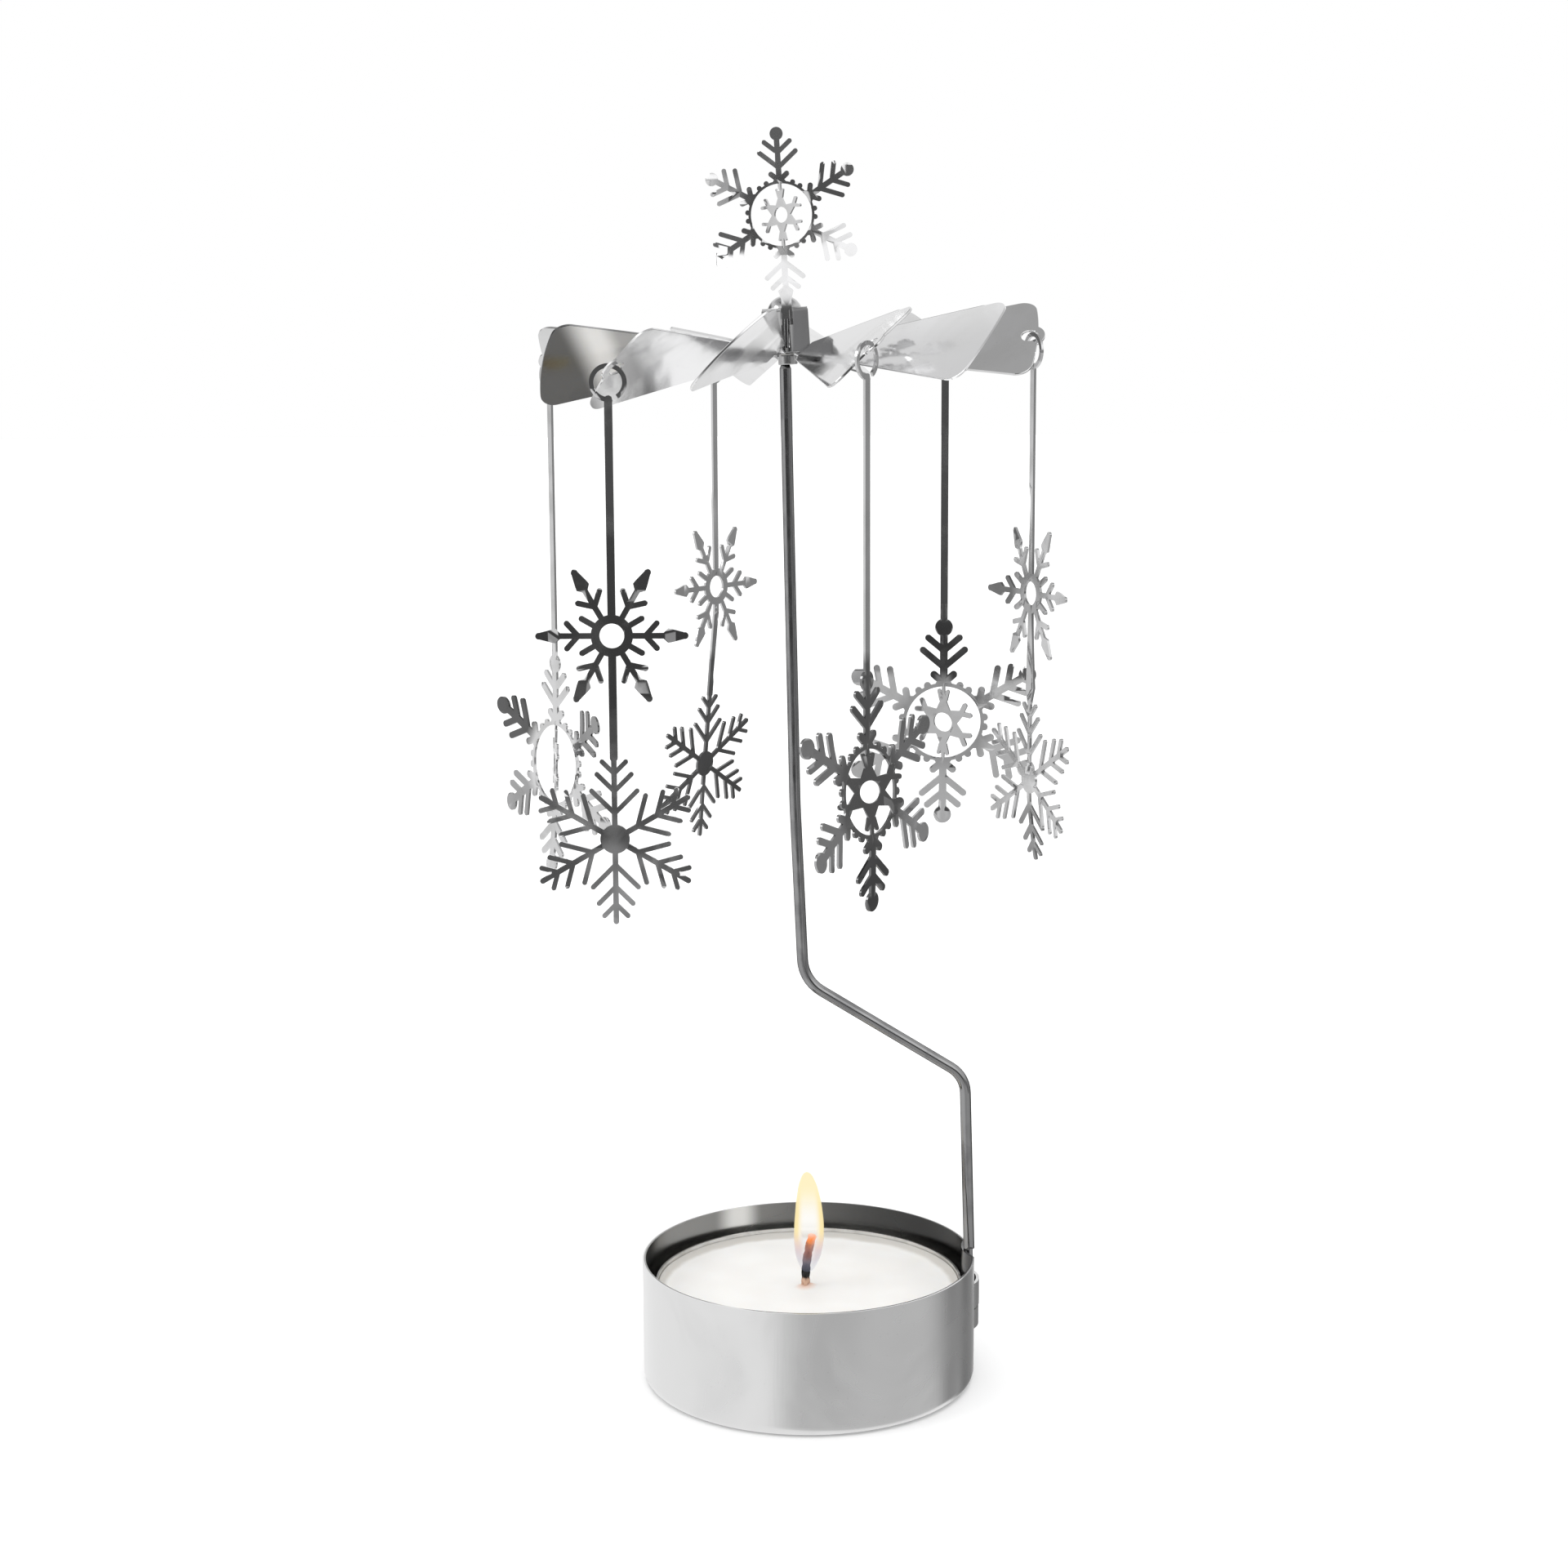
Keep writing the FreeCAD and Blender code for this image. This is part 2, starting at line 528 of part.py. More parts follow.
def folded_strip(width):
    """A strip folded down at both ends: two opposite legs and the flat between them."""
    foot = SHEET / 2 + FIT_GAP
    outer = Part.makeBox(2 * CAP_HALF_WIDTH, width, CAP_TOP - foot, Vector(-CAP_HALF_WIDTH, -width / 2, foot))
    folds = [edge for edge in level_edges(outer, CAP_TOP) if edge.BoundBox.YLength > width / 2]
    outer = outer.makeFillet(CAP_FOLD_RADIUS, folds)
    inside = CAP_HALF_WIDTH - SHEET
    inner = Part.makeBox(2 * inside, width + 2, CAP_TOP - SHEET, Vector(-inside, -width / 2 - 1, 0))
    folds = [edge for edge in level_edges(inner, CAP_TOP - SHEET) if edge.BoundBox.YLength > width / 2]
    inner = inner.makeFillet(CAP_FOLD_RADIUS - SHEET, folds)
    tabs = []
    for side in (-CAP_HALF_WIDTH, inside):
        tabs.append(Part.makeBox(SHEET, LEG_TAB_WIDTH, 2 * foot + LEG_TAB_DROP,
                                 Vector(side, -LEG_TAB_WIDTH / 2, -LEG_TAB_DROP)))
    return outer.cut(inner).multiFuse(tabs)


def dome_sphere_radius(base_radius, height):
    """Radius of the sphere that a dome of this size is cut from."""
    return (base_radius ** 2 + height ** 2) / (2 * height)


def pivot_cap():
    """The folded cap whose dome turns on the rod's point, with a slit for the top snowflake."""
    strips = [folded_strip(LEG_WIDTH)]
    strips += turned(strips, 90)
    half_flat = CAP_HALF_WIDTH - CAP_FOLD_RADIUS
    flat = Part.makeBox(2 * half_flat, 2 * half_flat, SHEET, Vector(-half_flat, -half_flat, CAP_TOP - SHEET))
    cap = flat.multiFuse(strips)
    sphere_radius = dome_sphere_radius(DOME_RADIUS, DOME_HEIGHT)
    centre = Vector(0, 0, CAP_TOP + DOME_HEIGHT - sphere_radius)
    above_flat = Part.makeCylinder(DOME_RADIUS, 3, Vector(0, 0, CAP_TOP - SHEET))
    outside = Part.makeSphere(sphere_radius, centre).common(above_flat)
    inside = Part.makeSphere(sphere_radius - SHEET, centre)
    cap = cap.fuse(outside).cut(inside)
    cap.rotate(Vector(), Z_AXIS, 45)
    slit = Part.makeBox(TAIL_WIDTH + 0.12, SHEET + 0.08, 3,
                        Vector(-TAIL_WIDTH / 2 - 0.06, -SHEET / 2 - 0.04, CAP_TOP - 2))
    slit.rotate(Vector(), Z_AXIS, TOP_YAW)
    slit.translate(Vector(TOP_SHIFT, -SLIT_OFFSET, 0))
    return cap.cut(slit).removeSplitter()


def top_snowflake():
    """The snowflake that stands on the cap, with a collar and a tail for a lower arm."""
    spec = TOP
    ring_middle = spec["hole"] + spec["band"] / 2
    tail_arm = [face for face in large_arm(spec, tip=False)[1:]]
    tail_arm.append(bar((0, ring_middle), (0, 9.2), spec["spine"]))
    half_tail = TAIL_WIDTH / 2
    tail_arm.append(polygon([(-0.3, 8.2), (0.3, 8.2), (0.88, 8.75), (half_tail, 9.75), (half_tail, TAIL_END),
                             (-half_tail, TAIL_END), (-half_tail, 9.75), (-0.88, 8.75)]))
    flake = large_snowflake(spec, tail_arm, STAR_TWIST)
    flake.rotate(Vector(), Vector(1, 0, 0), 90)
    flake.rotate(Vector(), Z_AXIS, TOP_YAW)
    flake.translate(Vector(TOP_SHIFT, -SLIT_OFFSET, TOP_CENTRE_HEIGHT))
    return flake


# ---- Tealight --------------------------------------------------------------------------------

def tealight_cup():
    """The tealight's thin metal cup."""
    return drawn_cup(TEALIGHT_RADIUS, TEALIGHT_WALL, TEALIGHT_BASE, TEALIGHT_TOP, 0.6)


def wick():
    """The wick, upright in the wax and leaning over above it."""
    foot = Vector(WICK_X, 0, WICK_FOOT)
    bend = Vector(WICK_X, 0, WICK_BEND_Z)
    span = WICK_TIP - bend
    turn_radius = (span.x ** 2 + span.z ** 2) / (2 * span.x)
    half_turn = math.asin(span.z / turn_radius) / 2
    centre = bend + Vector(turn_radius, 0, 0)
    middle = centre + Vector(-turn_radius * math.cos(half_turn), 0, turn_radius * math.sin(half_turn))
    path = Part.Wire([Part.LineSegment(foot, bend).toShape(), Part.Arc(bend, middle, WICK_TIP).toShape()])
    circle = Part.Wire([Part.Circle(foot, Z_AXIS, WICK_RADIUS).toShape()])
    return path.makePipeShell([circle], True, False)


def wick_sustainer():
    """The small metal foot that holds the wick upright in the wax."""
    base = TEALIGHT_BASE + TEALIGHT_WALL + WAX_GAP
    foot = Part.makeCylinder(SUSTAINER_RADIUS, SHEET, Vector(WICK_X, 0, base))
    neck = Part.makeCylinder(SUSTAINER_NECK, SUSTAINER_HEIGHT, Vector(WICK_X, 0, base))
    bore = Part.makeCylinder(WICK_RADIUS + FIT_GAP, SUSTAINER_HEIGHT, Vector(WICK_X, 0, base + SHEET))
    return foot.fuse(neck).cut(bore)


def candle_wax():
    """The wax, with a low mound round the wick and room for the wick and its foot."""
    radius = TEALIGHT_RADIUS - TEALIGHT_WALL - WAX_GAP
    base = TEALIGHT_BASE + TEALIGHT_WALL + WAX_GAP
    block = Part.makeCylinder(radius, WAX_TOP - base, Vector(0, 0, base))
    block = block.makeFillet(0.5, level_edges(block, base))
    mound = Part.makeCone(WAX_MOUND_RADIUS, 0.9, WAX_MOUND, Vector(WICK_X, 0, WAX_TOP - 0.01))
    hole = Part.makeCylinder(WICK_RADIUS + FIT_GAP, 20, Vector(WICK_X, 0, 0))
    foot = Part.makeCylinder(SUSTAINER_RADIUS + FIT_GAP, SHEET + 2 * FIT_GAP, Vector(WICK_X, 0, base - FIT_GAP))
    neck = Part.makeCylinder(SUSTAINER_NECK + FIT_GAP, SUSTAINER_HEIGHT + FIT_GAP, Vector(WICK_X, 0, base))
    return block.fuse(mound).cut([hole, foot, neck])


# ---- Assembly --------------------------------------------------------------------------------

def all_parts():
    """Every piece by name, in the object's frame."""
    parts = {"base_cup": base_cup(), "support_rod": support_rod()}
    for name, make in (("rotor_disc", rotor_disc), ("guide_bush", guide_bush),
                       ("pivot_cap", pivot_cap), ("top_snowflake", top_snowflake)):
        shape = make()
        shape.Placement = rotor_placement().multiply(shape.Placement)
        parts[name] = shape
    for pair in range(BLADE_COUNT // 4):
        double = double_pendant(LOWER_DROPS[pair], DOUBLE_FOLDS[pair])
        parts["double_pendant_%d" % (pair + 1)] = hung(double, 4 * pair)
        parts["large_pendant_%d" % (pair + 1)] = hung(large_pendant(), 4 * pair + 2)
    parts["tealight_cup"] = tealight_cup()
    parts["candle_wax"] = candle_wax()
    parts["wick"] = wick()
    parts["wick_sustainer"] = wick_sustainer()
    return parts


def main():
    """Write one STEP file for each piece."""
    os.makedirs("parts", exist_ok=True)
    for name, shape in all_parts().items():
        solids = shape.Solids
        print(name, "solids", len(solids), "valid", shape.isValid(), "volume", round(shape.Volume, 2))
        whole = solids[0] if len(solids) == 1 else shape
        whole.exportStep("parts/%s.step" % name)


if __name__ == "__main__":
    main()
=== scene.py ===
"""A rotary tealight holder: a cup with its candle, a cranked rod, and a bladed rotor hung with snowflakes."""

import json
import logging
import math
from dataclasses import dataclass, replace
from enum import Enum, IntEnum
from typing import Callable

import bmesh
import bpy
from mathutils import Euler, Matrix, Vector, noise


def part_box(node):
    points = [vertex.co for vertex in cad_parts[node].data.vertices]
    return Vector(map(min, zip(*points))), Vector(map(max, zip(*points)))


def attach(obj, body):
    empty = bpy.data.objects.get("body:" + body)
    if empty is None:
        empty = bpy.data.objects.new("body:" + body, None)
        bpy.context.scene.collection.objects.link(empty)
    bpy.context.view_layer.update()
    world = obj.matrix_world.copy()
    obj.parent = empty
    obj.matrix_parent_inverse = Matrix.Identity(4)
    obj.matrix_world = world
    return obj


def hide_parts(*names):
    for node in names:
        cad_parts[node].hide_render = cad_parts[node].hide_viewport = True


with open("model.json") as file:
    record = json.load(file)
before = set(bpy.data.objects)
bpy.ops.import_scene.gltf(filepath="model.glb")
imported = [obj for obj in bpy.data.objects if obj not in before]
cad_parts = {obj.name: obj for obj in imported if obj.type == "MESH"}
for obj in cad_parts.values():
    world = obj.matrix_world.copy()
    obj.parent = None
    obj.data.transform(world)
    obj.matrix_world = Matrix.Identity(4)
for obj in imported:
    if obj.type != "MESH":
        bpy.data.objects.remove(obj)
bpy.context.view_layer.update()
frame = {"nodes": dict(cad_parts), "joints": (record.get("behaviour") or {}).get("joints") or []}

MM = 0.001
SAME_PLACE = 1e-7
HOOK_HEIGHT = 4.0
UP = Vector((0.0, 0.0, 1.0)).freeze()
BLACK = (0.0, 0.0, 0.0)
Colour = tuple[float, float, float]
Span = tuple[float, float]
Mesh = bmesh.types.BMesh
Socket = bpy.types.NodeSocket
Tone = Callable[["Graph", Socket], Socket]
log = logging.getLogger("tealight_carousel")


class Body(Enum):
    """The moving bodies that new pieces ride on."""

    ROTOR = "rotor"
    TEALIGHT = "tealight"


class Slot(Enum):
    """The record's material slots."""

    SHEET = "sheet_steel"
    PENDANT = "pendant_steel"
    WAX = "wax"
    WICK = "wick"


class Part(IntEnum):
    """What a point of the rotor's parts belongs to; a place is where a blade is set."""

    PLAIN_BLADE = 0
    HOLED_BLADE = 1
    HUB = 2
    FIRST_PLACE = 3


# ---- Node wiring -----------------------------------------------------------------------------

class Graph:
    """A node tree being wired, with one short call for each node."""

    def __init__(self, tree: bpy.types.NodeTree) -> None:
        """Take over the tree that nodes are added to."""
        self.tree = tree

    def feed(self, node: bpy.types.Node, inputs: dict) -> bpy.types.Node:
        """Fill a node's inputs.

        Args:
            node: the node.
            inputs: socket name or index to a constant or to the output socket that feeds it.

        Returns:
            The same node.
        """
        for key, value in inputs.items():
            if isinstance(value, Socket):
                self.tree.links.new(value, node.inputs[key])
            else:
                node.inputs[key].default_value = value
        return node

    def add(self, kind: str, inputs: dict | None = None, **settings: object) -> bpy.types.Node:
        """Add a node, set its properties and fill its inputs.

        Args:
            kind: the node's type name.
            inputs: what its inputs are filled with, as for feed.
            settings: properties of the node itself.

        Returns:
            The new node.
        """
        node = self.tree.nodes.new(kind)
        for name, value in settings.items():
            setattr(node, name, value)
        return self.feed(node, inputs or {})

    def math(self, operation: str, *values: object) -> Socket:
        """Add a Math node on constants or sockets and return its result."""
        return self.add("ShaderNodeMath", dict(enumerate(values)), operation=operation).outputs[0]

    def vector(self, operation: str, *values: object) -> Socket:
        """Add a Vector Math node on constants or sockets and return its result."""
        node = self.add("ShaderNodeVectorMath", dict(enumerate(values)), operation=operation)
        return node.outputs["Value" if operation in ("DOT_PRODUCT", "DISTANCE", "LENGTH") else "Vector"]

    def scaled(self, value: Socket, factor: Socket) -> Socket:
        """Scale a vector or a colour and return the result."""
        return self.add("ShaderNodeVectorMath", {0: value, "Scale": factor}, operation="SCALE").outputs[0]

    def ramp(self, factor: Socket, low: float, high: float,
             to_low: float = 0.0, to_high: float = 1.0) -> Socket:
        """Map a value smoothly from one range to another and return the result."""
        node = self.add("ShaderNodeMapRange", {0: factor, 1: low, 2: high, 3: to_low, 4: to_high},
                        interpolation_type="SMOOTHSTEP")
        return node.outputs[0]

    def band(self, length: Socket, span: Span, to_low: float = 0.0, to_high: float = 1.0) -> Socket:
        """Map a length over a span in millimetres smoothly and return the result."""
        return self.ramp(length, span[0] * MM, span[1] * MM, to_low, to_high)

    def mix(self, factor: object, first: object, second: object) -> Socket:
        """Mix two colours and return the result."""
        colours = {6: first, 7: second}
        full = {key: value if isinstance(value, Socket) else (*value, 1.0) for key, value in colours.items()}
        return self.add("ShaderNodeMix", {0: factor, **full}, data_type="RGBA").outputs[2]

    def place(self) -> Socket:
        """Return the piece's own coordinates, in metres."""
        return self.add("ShaderNodeTexCoord").outputs["Object"]

    def axes(self) -> list[Socket]:
        """Return the piece's own X, Y and Z, in metres."""
        return list(self.add("ShaderNodeSeparateXYZ", {0: self.place()}).outputs)

    def radius(self) -> Socket:
        """Return the distance from the upright axis, in metres."""
        return self.vector("LENGTH", self.vector("MULTIPLY", self.place(), (1.0, 1.0, 0.0)))

    def noise(self, place: Socket, scale: object, detail: float, **more: float) -> Socket:
        """Add a Noise Texture, with any further inputs by name, and return its value."""
        inputs = {"Vector": place, "Scale": scale, "Detail": detail, **more}
        return self.add("ShaderNodeTexNoise", inputs).outputs[0]

    def bump(self, height: Socket, strength: float, depth: float) -> Socket:
        """Turn a height into a normal, with its depth in millimetres."""
        inputs = {"Height": height, "Strength": strength, "Distance": depth * MM}
        return self.add("ShaderNodeBump", inputs).outputs[0]


def new_tree(kind: str, name: str, inputs: dict[str, str],
             outputs: dict[str, str]) -> tuple[Graph, bpy.types.NodeOutputs]:
    """Start a node tree with named sockets.

    Args:
        kind: Shader or Geometry.
        name: the tree's name.
        inputs: input names and the kinds of their sockets.
        outputs: output names and the kinds of their sockets.

    Returns:
        The tree's graph and the sockets that give its inputs.
    """
    graph = Graph(bpy.data.node_groups.new(name, kind + "NodeTree"))
    for way, sockets in (("INPUT", inputs), ("OUTPUT", outputs)):
        for label, held in sockets.items():
            graph.tree.interface.new_socket(label, in_out=way, socket_type="NodeSocket" + held)
    return graph, graph.add("NodeGroupInput").outputs


def close_tree(graph: Graph, shape: Socket, material: bpy.types.Material) -> bpy.types.NodeTree:
    """End a geometry node tree by making copies real and setting a material, and return it."""
    real = graph.add("GeometryNodeRealizeInstances", {0: shape})
    dressed = graph.add("GeometryNodeSetMaterial", {"Geometry": real.outputs[0], "Material": material})
    graph.add("NodeGroupOutput", {0: dressed.outputs[0]})
    return graph.tree


def handling_marks_group() -> bpy.types.NodeTree:
    """Make the group for fingered, lightly scratched plating.

    Returns:
        A group whose outputs are Smudge and Speck masks and a Height for a Bump node.
    """
    graph, given = new_tree("Shader", "handling_marks",
                            dict.fromkeys(("Smudge Scale", "Speck Scale", "Wave Scale", "Scratch"), "Float"),
                            dict.fromkeys(("Smudge", "Speck", "Height"), "Float"))
    place = graph.place()
    smudge = graph.noise(place, given["Smudge Scale"], 3.0, Roughness=0.55, Distortion=0.6)
    speck = graph.add("ShaderNodeTexVoronoi", {"Vector": place, "Scale": given["Speck Scale"]}).outputs[0]
    wave = graph.noise(place, given["Wave Scale"], 1.0)
    scratch = graph.noise(graph.vector("MULTIPLY", place, (1.0, 1.0, 0.06)), 2600.0, 2.0)
    graph.add("NodeGroupOutput", {
        "Smudge": graph.ramp(smudge, 0.38, 0.72),
        "Speck": graph.ramp(speck, 0.05, 0.12, 1.0, 0.0),
        "Height": graph.math("MULTIPLY_ADD", scratch, given["Scratch"], wave)})
    return graph.tree


# ---- Finishes --------------------------------------------------------------------------------

def blank_material(name: str) -> tuple[bpy.types.Material, Graph, bpy.types.Node]:
    """Make an empty material with a Principled shader on its output.

    Args:
        name: the material's name.

    Returns:
        The material, its graph and its shader node.
    """
    material = bpy.data.materials.new(name)
    material.use_nodes = True
    material.node_tree.nodes.clear()
    graph = Graph(material.node_tree)
    shader = graph.add("ShaderNodeBsdfPrincipled")
    graph.add("ShaderNodeOutputMaterial", {"Surface": shader.outputs[0]})
    return material, graph, shader


@dataclass(frozen=True)
class Plating:
    """A bright plated or bare metal finish with handling marks."""

    name: str
    light: Colour
    dull: Colour
    polish: float
    haze: float
    wave_scale: float = 60.0
    wave_height: float = 0.12
    smudge_scale: float = 120.0
    scratch: float = 0.02
    speck_scale: float = 900.0
    speck_share: float = 0.12
    speck_depth: float = 0.45
    glance: float = 1.0

    def make(self, marks: bpy.types.NodeTree, tone: Tone | None = None) -> bpy.types.Material:
        """Build the material.

        Args:
            marks: the group of handling marks.
            tone: wires the light and shade painted into the colour over the piece, given the graph and the
                plain colour.

        Returns:
            The material.
        """
        material, graph, shader = blank_material(self.name)
        marked = graph.add("ShaderNodeGroup", {
            "Smudge Scale": self.smudge_scale, "Speck Scale": self.speck_scale,
            "Wave Scale": self.wave_scale, "Scratch": self.scratch}, node_tree=marks).outputs
        tint = graph.mix(marked["Smudge"], self.light, self.dull)
        colour = graph.mix(graph.math("MULTIPLY", marked["Speck"], self.speck_share), tint,
                           tuple(self.speck_depth * part for part in self.dull))
        graph.feed(shader, {
            "Base Color": colour if tone is None else tone(graph, colour),
            "Roughness": graph.ramp(marked["Smudge"], 0.0, 1.0, self.polish, self.haze),
            "Normal": graph.bump(marked["Height"], 1.0, self.wave_height),
            "Metallic": 1.0,
            "Specular Tint": (self.glance, self.glance, self.glance, 1.0)})
        return material


@dataclass(frozen=True)
class Paraffin:
    """Candle wax: nearly white, soft with light, with painted shade at its rim where it meets the cup, and
    warm close to the wick.
    """

    pale: Colour = (0.765, 0.76, 0.745)
    dense: Colour = (0.745, 0.735, 0.715)
    # Painted shade at the wax's rim, where it meets the cup's wall.
    rim_painted_shade: Colour = (0.54, 0.52, 0.485)
    blush: Colour = (0.66, 0.42, 0.31)
    rim_reach: Span = (18.1, 18.7)
    rim_wander: float = 0.9
    blush_reach: Span = (0.5, 1.7)
    blush_share: float = 0.75
    scatter: Colour = (1.0, 0.8, 0.6)
    scatter_share: float = 0.25
    scatter_depth: float = 1.2

    def make(self, wick_foot: Vector) -> bpy.types.Material:
        """Build the material, warm round the wick's foot, which is given in millimetres."""
        material, graph, shader = blank_material("paraffin_wax")
        place = graph.place()
        cloud = graph.noise(place, 190.0, 3.0)
        wander = graph.math("MULTIPLY_ADD", cloud, self.rim_wander * MM, graph.radius())
        body = graph.mix(graph.ramp(cloud, 0.35, 0.7), self.dense, self.pale)
        body = graph.mix(graph.band(wander, self.rim_reach), body, self.rim_painted_shade)
        near = graph.vector("DISTANCE", place, tuple(wick_foot * MM))
        warm = graph.band(near, self.blush_reach, self.blush_share, 0.0)
        graph.feed(shader, {
            "Base Color": graph.mix(warm, body, self.blush),
            "Roughness": graph.ramp(cloud, 0.3, 0.7, 0.42, 0.6),
            "Normal": graph.bump(cloud, 0.25, 0.1),
            "Subsurface Weight": self.scatter_share,
            "Subsurface Radius": self.scatter,
            "Subsurface Scale": self.scatter_depth * MM})
        return material


@dataclass(frozen=True)
class BurntCotton:
    """The wick's finish from the wax up: waxed, charred, brown and glowing, with heights in millimetres."""

    waxed: Colour = (0.62, 0.40, 0.29)
    charred: Colour = (0.006, 0.005, 0.005)
    brown: Colour = (0.16, 0.035, 0.010)
    dim_glow: Colour = (0.10, 0.018, 0.004)
    ember: Colour = (0.95, 0.26, 0.035)
    charred_z: Span = (12.7, 13.3)
    brown_z: Span = (14.7, 16.9)
    ember_z: Span = (16.9, 18.4)
    fray: float = 1.1
    glow: float = 0.9

    def make(self) -> bpy.types.Material:
        """Build the material."""
        material, graph, shader = blank_material("burnt_cotton")
        grit = graph.noise(graph.place(), 1800.0, 3.0)
        level = graph.math("MULTIPLY_ADD", grit, self.fray * MM, graph.axes()[2])
        low = graph.mix(graph.band(level, self.charred_z), self.waxed, self.charred)
        brown = graph.band(level, self.brown_z)
        glow = graph.mix(graph.band(level, self.ember_z), self.dim_glow, self.ember)
        graph.feed(shader, {
            "Base Color": graph.mix(brown, low, self.brown),
            "Emission Color": graph.mix(brown, BLACK, glow),
            "Emission Strength": self.glow,
            "Roughness": graph.ramp(grit, 0.3, 0.7, 0.7, 0.95),
            "Normal": graph.bump(grit, 0.7, 0.05)})
        return material


@dataclass(frozen=True)
class FlameGlow:
    """The flame's finish: a clear bluish foot, a white heart with a yellow edge, and a yellow top."""

    blue: Colour = (0.36, 0.38, 0.52)
    rose: Colour = (0.80, 0.60, 0.58)
    white: Colour = (1.0, 0.985, 0.94)
    yellow: Colour = (1.0, 0.84, 0.45)
    tip: Colour = (1.0, 0.89, 0.56)
    rose_z: Span = (14.2, 17.6)
    white_z: Span = (16.6, 19.6)
    tip_z: Span = (21.2, 25.4)
    solid_z: Span = (13.6, 19.6)
    full_z: Span = (18.2, 20.0)
    drift: float = 0.8
    clear: float = 0.12
    densest: float = 0.9
    hollow: float = 0.06

    def make(self) -> bpy.types.Material:
        """Build the material, which glows and is clearer at its edge and its foot."""
        material, graph, shader = blank_material("flame_glow")
        level = graph.math("MULTIPLY_ADD", graph.noise(graph.place(), 160.0, 1.0), self.drift * MM,
                           graph.axes()[2])
        edge = graph.add("ShaderNodeLayerWeight", {"Blend": 0.35}).outputs["Facing"]
        low = graph.mix(graph.band(level, self.rose_z), self.blue, self.rose)
        heart = graph.mix(graph.ramp(edge, 0.04, 0.34), self.white, self.yellow)
        middle = graph.mix(graph.band(level, self.white_z), low, heart)
        solid = graph.math("MULTIPLY", graph.ramp(edge, 0.35, 1.0, 1.0, self.clear),
                           graph.band(level, self.solid_z, self.clear, self.densest))
        filled = graph.math("MAXIMUM", graph.ramp(edge, 0.03, 0.2, self.hollow, 1.0),
                            graph.band(level, self.full_z))
        graph.feed(shader, {
            "Base Color": (*BLACK, 1.0),
            "Specular IOR Level": 0.0,
            "Emission Color": graph.mix(graph.band(level, self.tip_z), middle, self.tip),
            "Emission Strength": 1.0,
            "Alpha": graph.math("MULTIPLY", solid, filled)})
        return material


# ---- Meshes and pieces -----------------------------------------------------------------------

def new_object(name: str, data: bpy.types.ID) -> bpy.types.Object:
    """Make an object in the scene."""
    made = bpy.data.objects.new(name, data)
    bpy.context.scene.collection.objects.link(made)
    return made


def plain_mesh(name: str, mesh: Mesh, material: bpy.types.Material | None = None) -> bpy.types.Mesh:
    """Keep a mesh under a name, with one material or none, and free what it was built in."""
    data = bpy.data.meshes.new(name)
    mesh.to_mesh(data)
    mesh.free()
    data.materials.clear()
    if material is not None:
        data.materials.append(material)
    return data


def finished_piece(name: str, data: bpy.types.Mesh, body: str, slot: Slot | None,
                   sharp: float = 35.0) -> bpy.types.Object:
    """Smooth a mesh and make it a piece that rides on its body.

    Args:
        name: the piece's name.
        data: its mesh, in place.
        body: the name of the body that it rides on.
        slot: the record's slot for its finish, or None; not used.
        sharp: edges sharper than this many degrees stay crisp.

    Returns:
        The new object.
    """
    data.shade_smooth()
    data.set_sharp_from_angle(angle=math.radians(sharp))
    piece = new_object(name, data)
    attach(piece, body)
    return piece


def grown_piece(name: str, source: bpy.types.ID, tree: bpy.types.NodeTree, body: str,
                slot: Slot, sizes: dict[str, object], place: Matrix | None = None) -> bpy.types.Object:
    """Run a geometry node tree on a curve or mesh and keep its result as a plain mesh.

    Args:
        name: the piece's name.
        source: the curve or mesh that the tree starts from.
        tree: the tree.
        body: the name of the body that the piece rides on.
        slot: the record's slot for its finish; not used.
        sizes: the tree's inputs by name.
        place: moves the result from its own frame to where it belongs.

    Returns:
        The finished piece.
    """
    seed = new_object(name + "_seed", source)
    modifier = seed.modifiers.new("grow", "NODES")
    modifier.node_group = tree
    sockets = {item.name: item.identifier for item in tree.interface.items_tree if item.in_out == "INPUT"}
    for label, value in sizes.items():
        modifier[sockets[label]] = value
    depsgraph = bpy.context.evaluated_depsgraph_get()
    data = bpy.data.meshes.new_from_object(seed.evaluated_get(depsgraph), depsgraph=depsgraph)
    seed.modifiers.remove(modifier)
    bpy.data.objects.remove(seed)
    data.name = name
    if place is not None:
        data.transform(place)
    return finished_piece(name, data, body, slot)


def cut_along(mesh: Mesh, place: Vector, normal: Vector) -> None:
    """Cut a mesh along a plane, keeping both sides."""
    bmesh.ops.bisect_plane(mesh, geom=mesh.verts[:] + mesh.edges[:] + mesh.faces[:], dist=SAME_PLACE,
                           plane_co=place, plane_no=normal)


def lathe(profile: list[tuple[float, float]], steps: int) -> Mesh:
    """Spin an axis-to-axis profile about the upright axis.

    Args:
        profile: points (radius, z) in millimetres; a radius of 0 makes a pole.
        steps: number of steps round.

    Returns:
        The mesh, in metres, closed and facing outwards.
    """
    mesh = bmesh.new()
    rings = []
    turns = [math.tau * step / steps for step in range(steps)]
    for radius, z in profile:
        if radius < SAME_PLACE:
            rings.append([mesh.verts.new((0.0, 0.0, z * MM))] * steps)
            continue
        rings.append([mesh.verts.new((radius * math.cos(turn) * MM, radius * math.sin(turn) * MM, z * MM))
                      for turn in turns])
    for inner, outer in zip(rings, rings[1:]):
        for step in range(steps):
            ahead = (step + 1) % steps
            corners = dict.fromkeys((inner[step], inner[ahead], outer[ahead], outer[step]))
            if len(corners) > 2:
                mesh.faces.new(list(corners))
    bmesh.ops.recalc_face_normals(mesh, faces=mesh.faces)
    return mesh


